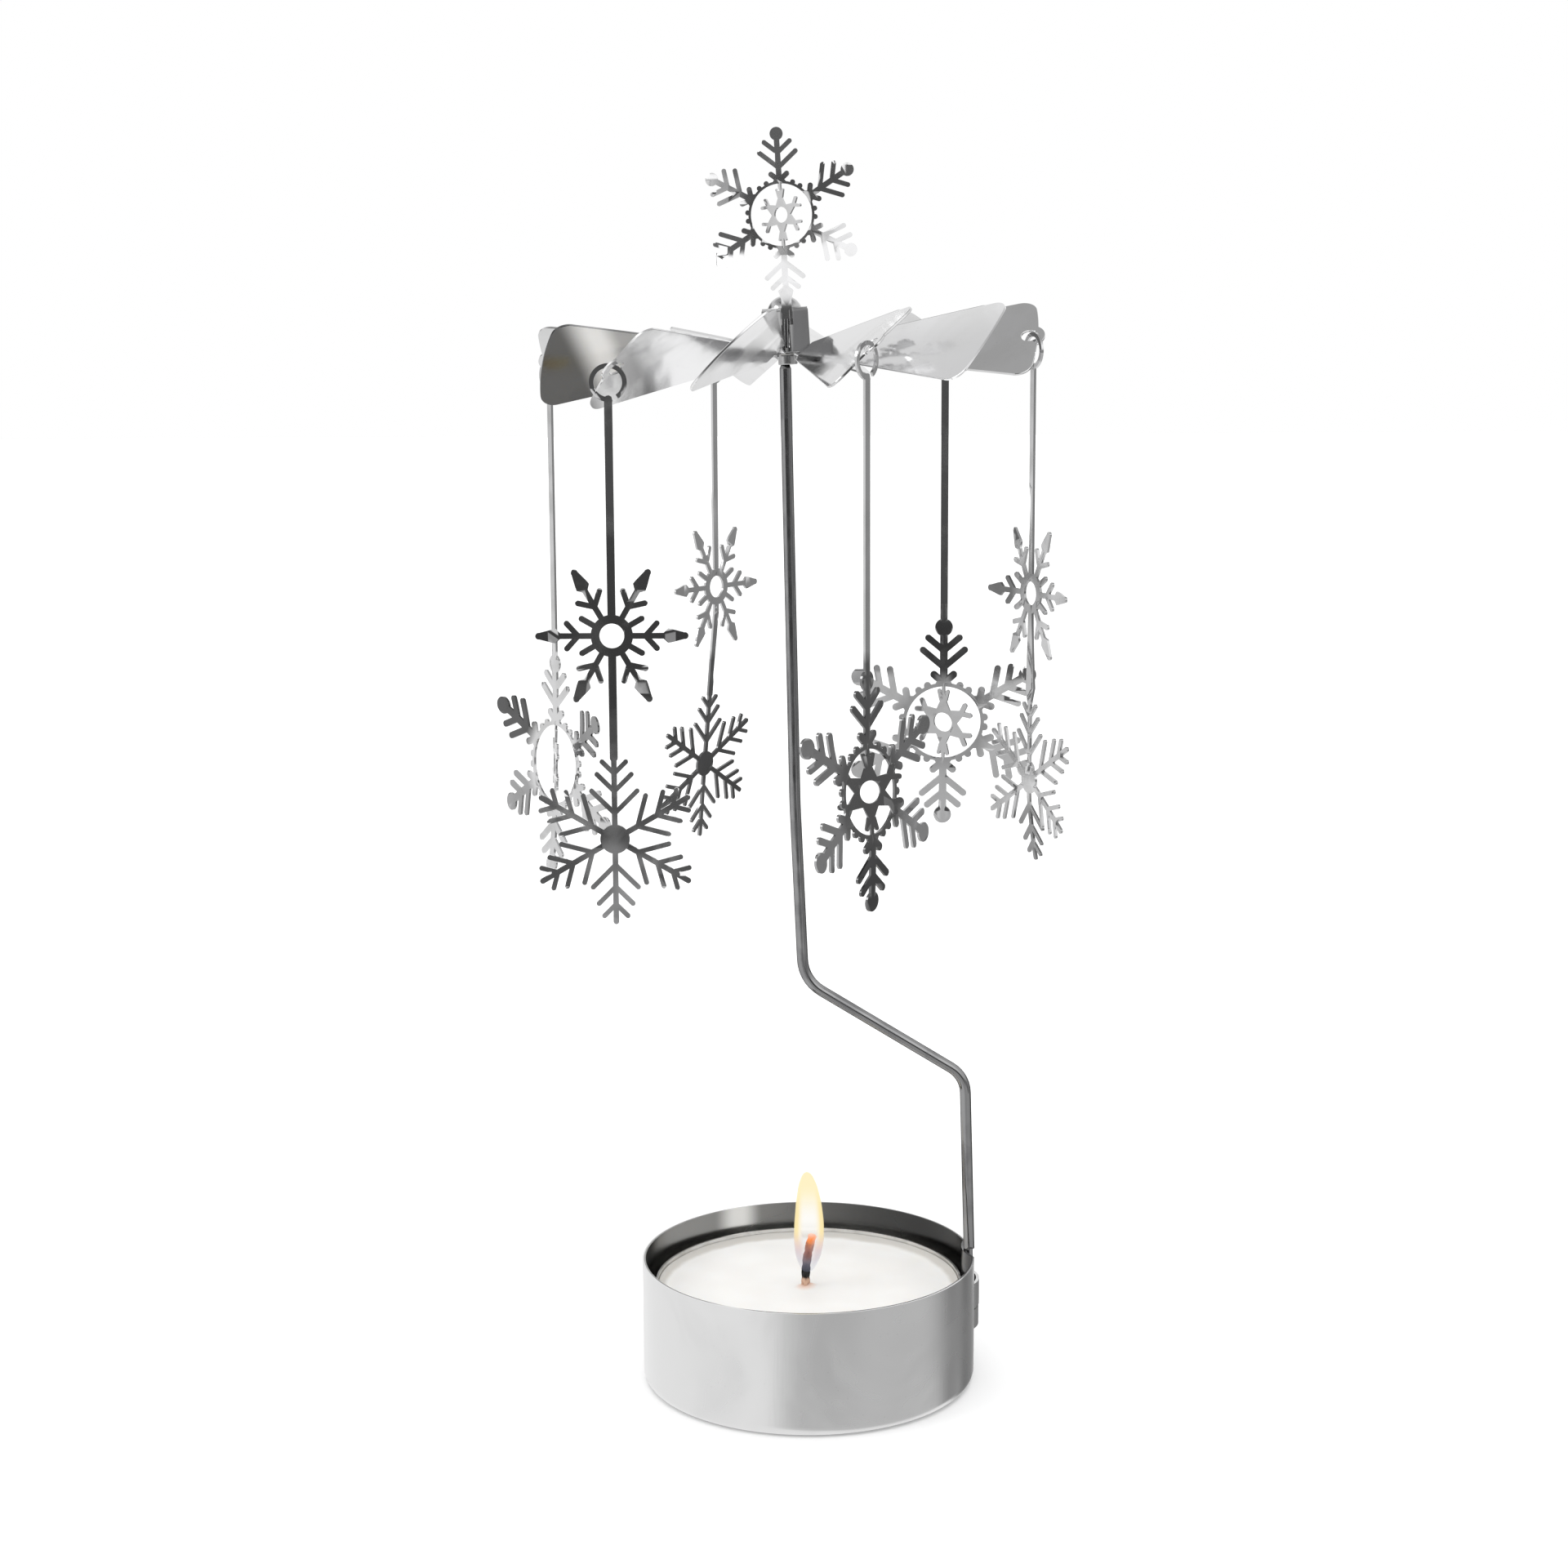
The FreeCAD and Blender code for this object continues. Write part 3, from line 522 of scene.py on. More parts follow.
def sheet_copy(node: str, face: Vector, cell: float, edge: float, swell: float) -> Mesh:
    """Copy a flat CAD piece, ease its edges and cut it into small cells, so that it can be bent.

    Args:
        node: the CAD node's name.
        face: the unit direction out of its face.
        cell: the cells' size in millimetres.
        edge: how far its edges are eased in millimetres.
        swell: how far its outline is let out below its hook in millimetres.

    Returns:
        The copy, merged, with its flat faces cut along a grid.
    """
    mesh = bmesh.new()
    mesh.from_mesh(frame["nodes"][node].data)
    bmesh.ops.remove_doubles(mesh, verts=mesh.verts, dist=SAME_PLACE)
    bmesh.ops.dissolve_limit(mesh, angle_limit=math.radians(0.5), verts=mesh.verts, edges=mesh.edges)
    low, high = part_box(node)
    shifts = {}
    for vertex in mesh.verts:
        if vertex.co.z > high.z - HOOK_HEIGHT * MM:
            continue
        sides = [side.normal for side in vertex.link_faces if abs(side.normal.dot(face)) < 0.5]
        total = sum(sides, Vector())
        if total.length > 0.3:
            shifts[vertex] = total * (len(sides) / max(total.length_squared, 1.0))
    for vertex, shift in shifts.items():
        vertex.co += shift * swell * MM
    rims = [side for side in mesh.edges if len(side.link_faces) == 2
            and side.calc_face_angle(0.0) > math.radians(50.0)]
    bmesh.ops.bevel(mesh, geom=rims, offset=edge * MM, segments=1, affect="EDGES", clamp_overlap=True)
    for axis, normal in enumerate(Matrix.Identity(3)):
        span = high[axis] - low[axis]
        count = int(span / (cell * MM))
        for cut in range(1, count + 1):
            place = Vector(low)
            place[axis] += span * cut / (count + 1)
            cut_along(mesh, place, normal)
    return mesh


# ---- Sub-assemblies --------------------------------------------------------------------------

@dataclass
class Candle:
    """The tealight: wax with a melt pool, a braided wick and its flame."""

    wax_radius: float = 18.78
    wax_top: float = 11.3
    wax_base: float = 0.75
    base_corner: float = 0.5
    meniscus: float = 0.75
    meniscus_width: float = 2.4
    mound: float = 0.55
    mound_width: float = 1.15
    dip: float = 0.16
    dip_at: float = 7.0
    dip_width: float = 7.5
    top_steps: int = 39
    wax_steps: int = 128
    wick_x: float = -0.35
    wick_levels: tuple[float, ...] = (2.0, 6.0, 10.0, 12.3)
    wick_tip: tuple[float, float, float] = (0.55, 0.0, 18.1)
    wick_steps: int = 12
    wick_sway: float = 0.12
    strand_reach: float = 0.3224
    strand_radius: float = 0.23
    strands: int = 6
    braid_turns: float = 3.2
    braid_steps: int = 160
    weave: float = 0.12
    flame_base_z: float = 13.2
    flame_top_z: float = 26.3
    flame_radius: float = 1.92
    flame_steps: int = 48
    flame_widths: tuple[Span, ...] = (
        (0.0, 0.0), (0.02, 0.34), (0.06, 0.52), (0.165, 0.83), (0.33, 1.0), (0.5, 0.97), (0.7, 0.84),
        (0.86, 0.63), (0.95, 0.40), (0.985, 0.22), (1.0, 0.0))
    flame_belly: float = 0.25
    flame_shift: float = 0.15
    paraffin: Paraffin = Paraffin()
    cotton: BurntCotton = BurntCotton()
    glow: FlameGlow = FlameGlow()

    def wax_profile(self) -> list[tuple[float, float]]:
        """Return the wax's outline, from the middle of its top round to the middle of its base."""
        top = []
        for step in range(self.top_steps + 1):
            radius = self.wax_radius * step / self.top_steps
            rise = self.mound * math.exp(-(radius / self.mound_width) ** 2)
            fall = self.dip * math.exp(-((radius - self.dip_at) / self.dip_width) ** 2)
            edge = max(0.0, (radius - (self.wax_radius - self.meniscus_width)) / self.meniscus_width)
            top.append((radius, self.wax_top + rise - fall + self.meniscus * edge ** 3))
        return top + [(self.wax_radius, self.wax_base + self.base_corner),
                      (self.wax_radius - self.base_corner, self.wax_base), (0.0, self.wax_base)]

    def wax(self) -> Mesh:
        """Make the wax, its top slightly uneven as it set."""
        mesh = lathe(self.wax_profile(), self.wax_steps)
        for vertex in mesh.verts:
            if vertex.co.z > (self.wax_top - 1.0) * MM:
                reach = vertex.co.xy.length / (self.wax_radius * MM)
                broad = noise.noise(vertex.co * 260.0) * 0.05
                fine = noise.noise(vertex.co * 900.0) * 0.03 * reach ** 4
                vertex.co.z += (broad + fine) * MM * min(1.0, reach * 3.0)
        return mesh

    def wick_line(self) -> list[Vector]:
        """Return points along the wick's middle, in metres."""
        points = [Vector((self.wick_x, 0.0, z)) for z in self.wick_levels]
        bend = points[-1]
        span = Vector(self.wick_tip) - bend
        for step in range(1, self.wick_steps + 1):
            share = step / self.wick_steps
            sway = self.wick_sway * math.sin(share * 5.0)
            points.append(bend + Vector((span.x * share ** 2, sway, span.z * share)))
        return [point * MM for point in points]

    def braid_tree(self, material: bpy.types.Material) -> bpy.types.NodeTree:
        """Build the tree that lays strands round a line, each a helix, and closes them into cords.

        Args:
            material: set on the strands.

        Returns:
            The geometry node tree, with inputs for the cord's sizes.
        """
        graph, given = new_tree("Geometry", "braided_cord",
                                {"Line": "Geometry", "Strands": "Int", "Turns": "Float",
                                 "Cord Radius": "Float", "Strand Radius": "Float"}, {"Cord": "Geometry"})
        line = graph.add("GeometryNodeResampleCurve", {"Curve": given["Line"], "Count": self.braid_steps})
        copies = graph.add("GeometryNodeDuplicateElements",
                           {"Geometry": line.outputs[0], "Amount": given["Strands"]}, domain="SPLINE")
        number = copies.outputs["Duplicate Index"]
        along = graph.add("GeometryNodeSplineParameter").outputs["Factor"]
        share = graph.math("DIVIDE", number, given["Strands"])
        odd = graph.math("MODULO", number, 2.0)
        way = graph.math("SUBTRACT", graph.math("MULTIPLY", odd, 2.0), 1.0)
        turned = graph.math("MULTIPLY", graph.math("MULTIPLY", along, given["Turns"]), way)
        angle = graph.math("MULTIPLY", graph.math("ADD", turned, share), math.tau)
        crossing = graph.math("SINE", graph.math("MULTIPLY", angle, 3.0))
        reach = graph.math("MULTIPLY", graph.math("MULTIPLY_ADD", crossing, self.weave, 1.0),
                           given["Cord Radius"])
        normal = graph.add("GeometryNodeInputNormal").outputs[0]
        side = graph.vector("CROSS_PRODUCT", graph.add("GeometryNodeInputTangent").outputs[0], normal)
        outward = graph.vector("ADD", graph.scaled(normal, graph.math("COSINE", angle)),
                               graph.scaled(side, graph.math("SINE", angle)))
        moved = graph.add("GeometryNodeSetPosition", {"Geometry": copies.outputs[0],
                                                      "Offset": graph.scaled(outward, reach)})
        section = graph.add("GeometryNodeCurvePrimitiveCircle",
                            {"Resolution": 8, "Radius": given["Strand Radius"]})
        cord = graph.add("GeometryNodeCurveToMesh", {"Curve": moved.outputs[0], "Fill Caps": True,
                                                     "Profile Curve": section.outputs[0]})
        return close_tree(graph, cord.outputs[0], material)

    def wick(self) -> bpy.types.Object:
        """Braid the wick along its line."""
        line = bpy.data.curves.new("wick_line", "CURVE")
        line.dimensions = "3D"
        spline = line.splines.new("NURBS")
        points = self.wick_line()
        spline.points.add(len(points) - 1)
        for point, place in zip(spline.points, points):
            point.co = (*place, 1.0)
        spline.order_u = 3
        spline.use_endpoint_u = True
        return grown_piece("braided_wick", line, self.braid_tree(self.cotton.make()), Body.TEALIGHT.value,
                           Slot.WICK, {"Strands": self.strands, "Turns": self.braid_turns,
                                       "Cord Radius": self.strand_reach * MM,
                                       "Strand Radius": self.strand_radius * MM})

    def flame(self) -> Mesh:
        """Make the flame, a closed drop that leans with the wick."""
        height = self.flame_top_z - self.flame_base_z
        profile = []
        for step in range(self.flame_steps + 1):
            share = (1.0 - math.cos(math.pi * step / self.flame_steps)) / 2
            below = max(index for index, (level, _) in enumerate(self.flame_widths[:-1])
                        if level <= share + 1e-9)
            (low, first), (high, last) = self.flame_widths[below], self.flame_widths[below + 1]
            part = min(1.0, (share - low) / (high - low))
            profile.append((self.flame_radius * (first + (last - first) * part),
                            self.flame_base_z + height * share))
        mesh = lathe(profile, self.flame_steps)
        for _ in range(3):
            bmesh.ops.smooth_vert(mesh, verts=mesh.verts, factor=0.5, use_axis_x=True, use_axis_y=True,
                                  use_axis_z=False)
        for vertex in mesh.verts:
            share = (vertex.co.z / MM - self.flame_base_z) / height
            vertex.co.x += (self.flame_belly * math.sin(share * math.pi) - self.flame_shift) * MM
        return mesh

    def build(self) -> list[bpy.types.Object]:
        """Make the candle's pieces."""
        foot = Vector((self.wick_x, 0.0, self.wax_top + self.mound))
        wax = finished_piece("wax_pool", plain_mesh("wax_pool", self.wax(), self.paraffin.make(foot)),
                             Body.TEALIGHT.value, Slot.WAX, sharp=60.0)
        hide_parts("candle_wax")
        wick = self.wick()
        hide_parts("wick")
        flame = finished_piece("flame", plain_mesh("flame", self.flame(), self.glow.make()),
                               Body.TEALIGHT.value, None, sharp=80.0)
        return [wax, wick, flame]


@dataclass
class Metalwork:
    """The plated pieces that keep their CAD shape, the finish of each, and the light and shade painted on
    some.

    Painted light and shade change the metal's own colour where its reflections alone come out too light or
    too dark.
    """

    inside_radius: float = 20.55
    inside_floor: float = 0.6
    painted_shade_span: Span = (-17.0, 15.0)
    # Painted shade on the cup's inside wall: lighter at the left and darker at the right.
    painted_shade_left: Colour = (0.27, 0.27, 0.265)
    painted_shade_right: Colour = (0.055, 0.055, 0.055)
    # A painted reflection streak up the cup's inside wall, about this x.
    painted_reflection_x: float = -9.2
    painted_reflection_reach: Span = (0.4, 3.2)
    painted_reflection_streak: Colour = (0.80, 0.80, 0.79)
    # Painted light low on the cup's inside wall, by the wax.
    painted_light_foot_z: Span = (11.6, 13.2)
    foot: Colour = (0.86, 0.86, 0.85)
    cloud: Colour = (0.30, 0.30, 0.295)
    # Painted highlight on the rod's point, above the hub.
    painted_highlight_z: Span = (127.0, 127.8)
    point: Colour = (0.88, 0.88, 0.885)
    # Painted shade on the cap's right-hand legs.
    painted_shade_leg_x: Span = (-1.8, -1.2)
    painted_shade_leg_z: Span = (132.2, 132.7)
    painted_shade_leg: Colour = (0.20, 0.20, 0.203)
    cup: Plating = Plating("cup_plating", (0.74, 0.74, 0.74), (0.68, 0.68, 0.68), 0.2, 0.32,
                           wave_scale=26.0, wave_height=0.35, smudge_scale=60.0)
    rod: Plating = Plating("rod_plating", (0.31, 0.31, 0.313), (0.25, 0.25, 0.255), 0.12, 0.24,
                           wave_scale=240.0, wave_height=0.06, smudge_scale=260.0, glance=0.2)
    cap: Plating = Plating("cap_plating", (0.52, 0.52, 0.525), (0.46, 0.46, 0.46), 0.08, 0.18,
                           wave_scale=200.0, wave_height=0.2)
    bush: Plating = Plating("bush_plating", (0.50, 0.50, 0.50), (0.40, 0.40, 0.40), 0.18, 0.3)
    tin: Plating = Plating("thin_aluminium", (0.66, 0.65, 0.63), (0.54, 0.53, 0.51), 0.3, 0.42,
                           wave_scale=420.0, wave_height=0.25, smudge_scale=300.0)

    def cup_painted_light_and_shade(self, graph: Graph, outside: Socket) -> Socket:
        """Paint shade on the inside of the cup, darker from left to right, with a painted reflection streak,
        painted light low down by the wax, and clouds.

        Args:
            graph: the material's graph.
            outside: the colour of the rest.

        Returns:
            The colour.
        """
        side, _, height = graph.axes()
        within = graph.math("MULTIPLY", graph.math("LESS_THAN", graph.radius(), self.inside_radius * MM),
                            graph.math("GREATER_THAN", height, self.inside_floor * MM))
        around = graph.vector("MULTIPLY", graph.place(), (1.0, 1.0, 0.15))
        cloud = graph.noise(around, 95.0, 2.0, Roughness=0.4)
        off = graph.math("ABSOLUTE", graph.math("SUBTRACT", side, self.painted_reflection_x * MM))
        # Painted shade from left to right, a painted reflection streak, painted light low down, then clouds.
        toned = graph.mix(graph.band(side, self.painted_shade_span), self.painted_shade_left, self.painted_shade_right)
        toned = graph.mix(graph.band(off, self.painted_reflection_reach, 0.85, 0.0), toned, self.painted_reflection_streak)
        toned = graph.mix(graph.band(height, self.painted_light_foot_z, 0.9, 0.0), toned, self.foot)
        toned = graph.mix(graph.ramp(cloud, 0.58, 0.70), toned, self.cloud)
        return graph.mix(within, outside, toned)

    def rod_painted_highlight(self, graph: Graph, plain: Socket) -> Socket:
        """Paint a highlight on the rod's point, above the hub, and return the colour."""
        return graph.mix(graph.band(graph.axes()[2], self.painted_highlight_z), plain, self.point)

    def cap_painted_shade(self, graph: Graph, plain: Socket) -> Socket:
        """Paint shade on the cap's right-hand legs and return the colour."""
        side, _, height = graph.axes()
        right = graph.math("MULTIPLY", graph.band(side, self.painted_shade_leg_x), graph.band(height, self.painted_shade_leg_z, 1.0, 0.0))
        return graph.mix(right, plain, self.painted_shade_leg)

    def build(self, marks: bpy.types.NodeTree) -> None:
        """Give each CAD node its finish.

        Args:
            marks: the group of handling marks.
        """
        for finish, tone, nodes in (
                (self.cup, self.cup_painted_light_and_shade, ("base_cup",)), (self.rod, self.rod_painted_highlight, ("support_rod",)),
                (self.cap, self.cap_painted_shade, ("pivot_cap",)), (self.bush, None, ("guide_bush",)),
                (self.tin, None, ("tealight_cup", "wick_sustainer"))):
            material = finish.make(marks, tone)
            for node in nodes:
                dress_node(node, material)
                log.info("dressed %s in %s", node, finish.name)


def dress_node(node: str, material: bpy.types.Material) -> None:
    """Put one material on a CAD node."""
    slots = frame["nodes"][node].material_slots
    if not slots:
        frame["nodes"][node].data.materials.append(material)
    for slot in slots:
        slot.material = material


@dataclass
class Rotor:
    """The stamped rotor: a flat hub and twelve blades, each twisted at its neck and slightly cambered."""

    count: int = 12
    first_azimuth: float = -10.9
    pitches: tuple[float, ...] = (38, 38, 38, 38, 38, 40, 44, 45, 41, 40, 38, 38)
    lifts: tuple[float, ...] = (0, 0, 0.3, 0.3, -0.3, 0.3, 1.2, 1.4, -0.3, 3.2, 1.4, 0.8)
    turns: tuple[float, ...] = (0, 0, 0, 0, 1.8, 0, 0, 0, 0, -1.2, 0, 0)
    # Painted light on single blades: each blade's colour is scaled by its level, and levels below 1 count as
    # 1.
    painted_blade_lights: tuple[float, ...] = (1, 1, 1, 1, 1, 1, 1, 1, 1.3, 1.2, 1, 1.48)
    hub_radius: float = 4.8
    bore_radius: float = 1.17
    inner_radius: float = 6.3
    outer_radius: float = 29.8
    half_angle: float = 13.2
    corner: float = 1.8
    hole_at: float = 28.74
    hole_radius: float = 0.95
    lug_radius: float = 1.85
    neck_half: float = 0.85
    neck_pitch: float = 39.5
    neck_inset: float = 0.3
    thickness: float = 0.3
    edge: float = 0.05
    camber: float = 0.30
    cell: float = 0.9
    arc_steps: int = 10
    # Painted dark reflection on the end of the leftmost blade, up to a slanting line, with a painted
    # highlight band just inside the line and grey beyond it.
    below_pivot: float = 6.35
    end_x: float = -26.2
    end_z: float = 130.4
    end_slant: float = -0.38
    end_y: Span = (-2.6, -1.6)
    end_reach: Span = (5.5, 7.5)
    painted_dark_reach: Span = (-2.2, 1.6)
    painted_highlight_reach: Span = (2.2, 4.6)
    painted_dark_end: Colour = (0.125, 0.125, 0.125)
    painted_highlight_band: Colour = (0.80, 0.80, 0.80)
    painted_grey_end: Colour = (0.42, 0.42, 0.42)
    plating: Plating = Plating("sheet_plating", (0.66, 0.66, 0.665), (0.61, 0.61, 0.61), 0.07, 0.16,
                               wave_scale=60.0, wave_height=0.04)

    def arc(self, middle: Vector, radius: float, start: float, end: float) -> list[Vector]:
        """Return points along an arc, without its start."""
        turns = (start + (end - start) * step / self.arc_steps for step in range(1, self.arc_steps + 1))
        return [middle + radius * Vector((math.cos(turn), math.sin(turn))) for turn in turns]

    def circle(self, middle: Vector, radius: float, arcs: int) -> list[Vector]:
        """Return points round a circle, made of equal arcs."""
        span = math.tau / arcs
        starts = (number * span for number in range(arcs))
        return [point for start in starts for point in self.arc(middle, radius, start, start + span)]

    def outline(self, holed: bool) -> list[Vector]:
        """Return the flat outline of a blade and its neck, anticlockwise.

        Args:
            holed: whether a lug of sheet stands out round the blade's hole.

        Returns:
            The points, in millimetres, along +X from the hub.
        """
        half = math.radians(self.half_angle)
        inset = self.outer_radius - self.corner
        swing = half - math.asin(self.corner / inset)
        start, upper = 0.0, [Vector((self.outer_radius, 0.0))]
        if holed:
            start = math.acos((self.outer_radius ** 2 + self.hole_at ** 2 - self.lug_radius ** 2)
                              / (2 * self.outer_radius * self.hole_at))
            reach = math.asin(self.outer_radius * math.sin(start) / self.lug_radius)
            upper = [Vector((self.hole_at + self.lug_radius, 0.0))]
            upper += self.arc(Vector((self.hole_at, 0.0)), self.lug_radius, 0.0, reach)
        upper += self.arc(Vector((0.0, 0.0)), self.outer_radius, start, swing)
        middle = Vector((inset * math.cos(swing), inset * math.sin(swing)))
        upper += self.arc(middle, self.corner, swing, half + math.pi / 2)
        upper += [Vector((self.inner_radius, self.inner_radius * math.tan(half))),
                  Vector((self.inner_radius, self.neck_half)),
                  Vector((self.hub_radius - self.neck_inset, self.neck_half))]
        return [Vector((point.x, -point.y)) for point in reversed(upper[1:])] + upper

    def sheet(self, mesh: Mesh, loops: list[list[Vector]]) -> list[bmesh.types.BMVert]:
        """Add a flat sheet with eased edges, its middle at z = 0.

        Args:
            mesh: the mesh that it is added to.
            loops: its outline and then its holes, in millimetres.

        Returns:
            Its vertices.
        """
        flat = bmesh.new()
        for loop in loops:
            corners = [flat.verts.new((point.x * MM, point.y * MM, -self.thickness / 2 * MM))
                       for point in loop]
            for first, second in zip(corners, corners[1:] + corners[:1]):
                flat.edges.new((first, second))
        bmesh.ops.triangle_fill(flat, edges=flat.edges, use_beauty=True, normal=UP)
        bmesh.ops.dissolve_limit(flat, angle_limit=0.01, verts=flat.verts, edges=flat.edges)
        top = bmesh.ops.extrude_face_region(flat, geom=flat.faces[:], use_keep_orig=True)["geom"]
        raised = [item for item in top if isinstance(item, bmesh.types.BMVert)]
        bmesh.ops.translate(flat, verts=raised, vec=(0.0, 0.0, self.thickness * MM))
        bmesh.ops.recalc_face_normals(flat, faces=flat.faces)
        rims = [side for side in flat.edges if side.calc_face_angle(0.0) > math.radians(80.0)
                and abs(side.verts[0].co.z - side.verts[1].co.z) < SAME_PLACE]
        bmesh.ops.bevel(flat, geom=rims, offset=self.edge * MM, segments=1, affect="EDGES")
        for axis in range(2):
            normal = Vector((1.0 - axis, float(axis), 0.0))
            span = [vertex.co[axis] for vertex in flat.verts]
            for cut in range(1, int((max(span) - min(span)) / (self.cell * MM))):
                cut_along(flat, normal * (min(span) + cut * self.cell * MM), normal)
        copies = {vertex: mesh.verts.new(vertex.co) for vertex in flat.verts}
        for face in flat.faces:
            mesh.faces.new([copies[vertex] for vertex in face.verts])
        flat.free()
        return list(copies.values())

    def shape_blade(self, vertex: bmesh.types.BMVert) -> None:
        """Camber a blade across its width and twist its neck."""
        x, y = vertex.co.x / MM, vertex.co.y / MM
        if x > self.inner_radius:
            across = y / (self.outer_radius * math.sin(math.radians(self.half_angle)))
            vertex.co.z += self.camber * MM * (0.35 - across ** 2)
            return
        left = min(1.0, (self.inner_radius - x) / (self.inner_radius - self.hub_radius))
        vertex.co.rotate(Euler((-math.radians(self.neck_pitch) * left, 0.0, 0.0)))

    def parts(self) -> bpy.types.Mesh:
        """Make the mesh that the tree starts from: both blades, the hub and a place for each blade."""
        mesh = bmesh.new()
        kind = mesh.verts.layers.int.new("kind")
        spin = mesh.verts.layers.float_vector.new("spin")
        shade = mesh.verts.layers.float.new("shade")
        centre, eye = Vector((0.0, 0.0)), Vector((self.hole_at, 0.0))
        hub = [self.circle(centre, radius, 4) for radius in (self.hub_radius, self.bore_radius)]
        holed = [self.outline(True), self.circle(eye, self.hole_radius, 2)]
        for part, loops in zip(Part, ([self.outline(False)], holed, hub)):
            for vertex in self.sheet(mesh, loops):
                vertex[kind] = part.value
                if part is not Part.HUB:
                    self.shape_blade(vertex)
        for number in range(self.count):
            azimuth = math.radians(self.first_azimuth + number * 360.0 / self.count + self.turns[number])
            lift = math.radians(self.lifts[number])
            shift = Vector((self.hub_radius * (1.0 - math.cos(lift)), 0.0, -self.hub_radius * math.sin(lift)))
            shift.rotate(Euler((0.0, 0.0, azimuth)))
            place = mesh.verts.new(shift * MM)
            place[kind] = Part.FIRST_PLACE.value + (number + 1) % 2
            place[spin] = Vector((math.radians(self.pitches[number]), -lift, azimuth))
            place[shade] = self.painted_blade_lights[number]
        return plain_mesh("rotor_parts", mesh)

    def tree(self, material: bpy.types.Material) -> bpy.types.NodeTree:
        """Build the tree that sets a blade at every place and joins the blades to the hub.

        Args:
            material: set on the rotor.

        Returns:
            The geometry node tree, with an input for the number from which kinds are places.
        """
        graph, given = new_tree("Geometry", "ring_of_blades", {"Parts": "Geometry", "First Place": "Int"},
                                {"Rotor": "Geometry"})
        kind, spin, shade = (
            graph.add("GeometryNodeInputNamedAttribute", {"Name": name}, data_type=held).outputs[0]
            for name, held in (("kind", "INT"), ("spin", "FLOAT_VECTOR"), ("shade", "FLOAT")))
        turn = graph.add("FunctionNodeEulerToRotation", {0: spin}).outputs[0]

        def only(number: object) -> Socket:
            """Return the parts of one kind."""
            match = graph.math("COMPARE", kind, number, 0.25)
            return graph.add("GeometryNodeSeparateGeometry", {"Geometry": given["Parts"],
                                                              "Selection": match}).outputs[0]

        joined = graph.add("GeometryNodeJoinGeometry", {0: only(float(Part.HUB))})
        for blade in (float(Part.PLAIN_BLADE), float(Part.HOLED_BLADE)):
            places = only(graph.math("ADD", given["First Place"], blade))
            ring = graph.add("GeometryNodeInstanceOnPoints", {"Points": places, "Instance": only(blade),
                                                              "Rotation": turn})
            # Carry each blade's painted light level on to its copy.
            shaded = graph.add("GeometryNodeStoreNamedAttribute",
                               {"Geometry": ring.outputs[0], "Name": "painted_blade_light", "Value": shade},
                               data_type="FLOAT", domain="INSTANCE")
            graph.feed(joined, {0: shaded.outputs[0]})
        return close_tree(graph, joined.outputs[0], material)

    def placement(self) -> Matrix:
        """Return the move from the rotor's own frame to the object's."""
        spin = next(joint for joint in frame["joints"] if joint["name"] == "rotor_spin")
        axis = Vector(spin["axis"]).normalized()
        lean = UP.rotation_difference(axis).to_matrix().to_4x4()
        return Matrix.Translation(Vector(spin["pos_m"]) - axis * self.below_pivot * MM) @ lean

    def tone(self, graph: Graph, plain: Socket) -> Socket:
        """Paint light onto single blades, and paint a dark reflection on the end of the leftmost one, up to a
        slanting line, with a painted highlight band and then grey inside it.

        Args:
            graph: the material's graph.
            plain: the colour of the rest.

        Returns:
            The colour.
        """
        # Painted light on single blades.
        painted_blade_light = graph.add("ShaderNodeAttribute", attribute_name="painted_blade_light").outputs["Fac"]
        blades = graph.scaled(plain, graph.math("MAXIMUM", painted_blade_light, 1.0))
        # Painted dark reflection on the leftmost blade's end, with a painted highlight band and grey inside
        # the line.
        side, depth, height = graph.axes()
        line = graph.math("MULTIPLY_ADD", graph.math("SUBTRACT", height, self.end_z * MM), self.end_slant,
                          self.end_x * MM)
        inside = graph.math("SUBTRACT", side, line)
        end = graph.mix(graph.band(inside, self.painted_dark_reach), self.painted_dark_end, self.painted_highlight_band)
        end = graph.mix(graph.band(inside, self.painted_highlight_reach), end, self.painted_grey_end)
        share = graph.math("MULTIPLY", graph.band(inside, self.end_reach, 1.0, 0.0),
                           graph.band(depth, self.end_y, 1.0, 0.0))
        return graph.mix(share, blades, end)

    def build(self, marks: bpy.types.NodeTree) -> bpy.types.Object:
        """Make the rotor.

        Args:
            marks: the group of handling marks.

        Returns:
            The rotor.
        """
        tree = self.tree(self.plating.make(marks, self.tone))
        piece = grown_piece("cambered_rotor", self.parts(), tree, Body.ROTOR.value, Slot.SHEET,
                            {"First Place": Part.FIRST_PLACE.value}, self.placement())
        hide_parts("rotor_disc")
        return piece


@dataclass(frozen=True)
class Flake:
    """One snowflake and how its sheet is bent.

    Its middle is a drop below where the piece hangs. Arms bend from the root circle outwards, and all
    below the root of the upper arm may nod. A standing snowflake may lean above its foot. The first
    arm is a skew, in degrees, off upright. Its plain colour is scaled by painted light and shade, one
    level for the middle and one for each arm.
    """

    drop: float
    root: float
    nod: float
    arms: tuple[float, float, float, float, float, float]
    reach: float
    lean: float = 0.0
    skew: float = 0.0
    painted_light_levels: tuple[float, ...] = (1.0,) * 7


@dataclass(frozen=True)
class Hanging:
    """A stamped sheet piece that carries one or two snowflakes, and how far its outline is let out."""

    node: str
    body: str
    slot: Slot
    flakes: tuple[Flake, ...]
    swell: float = 0.02


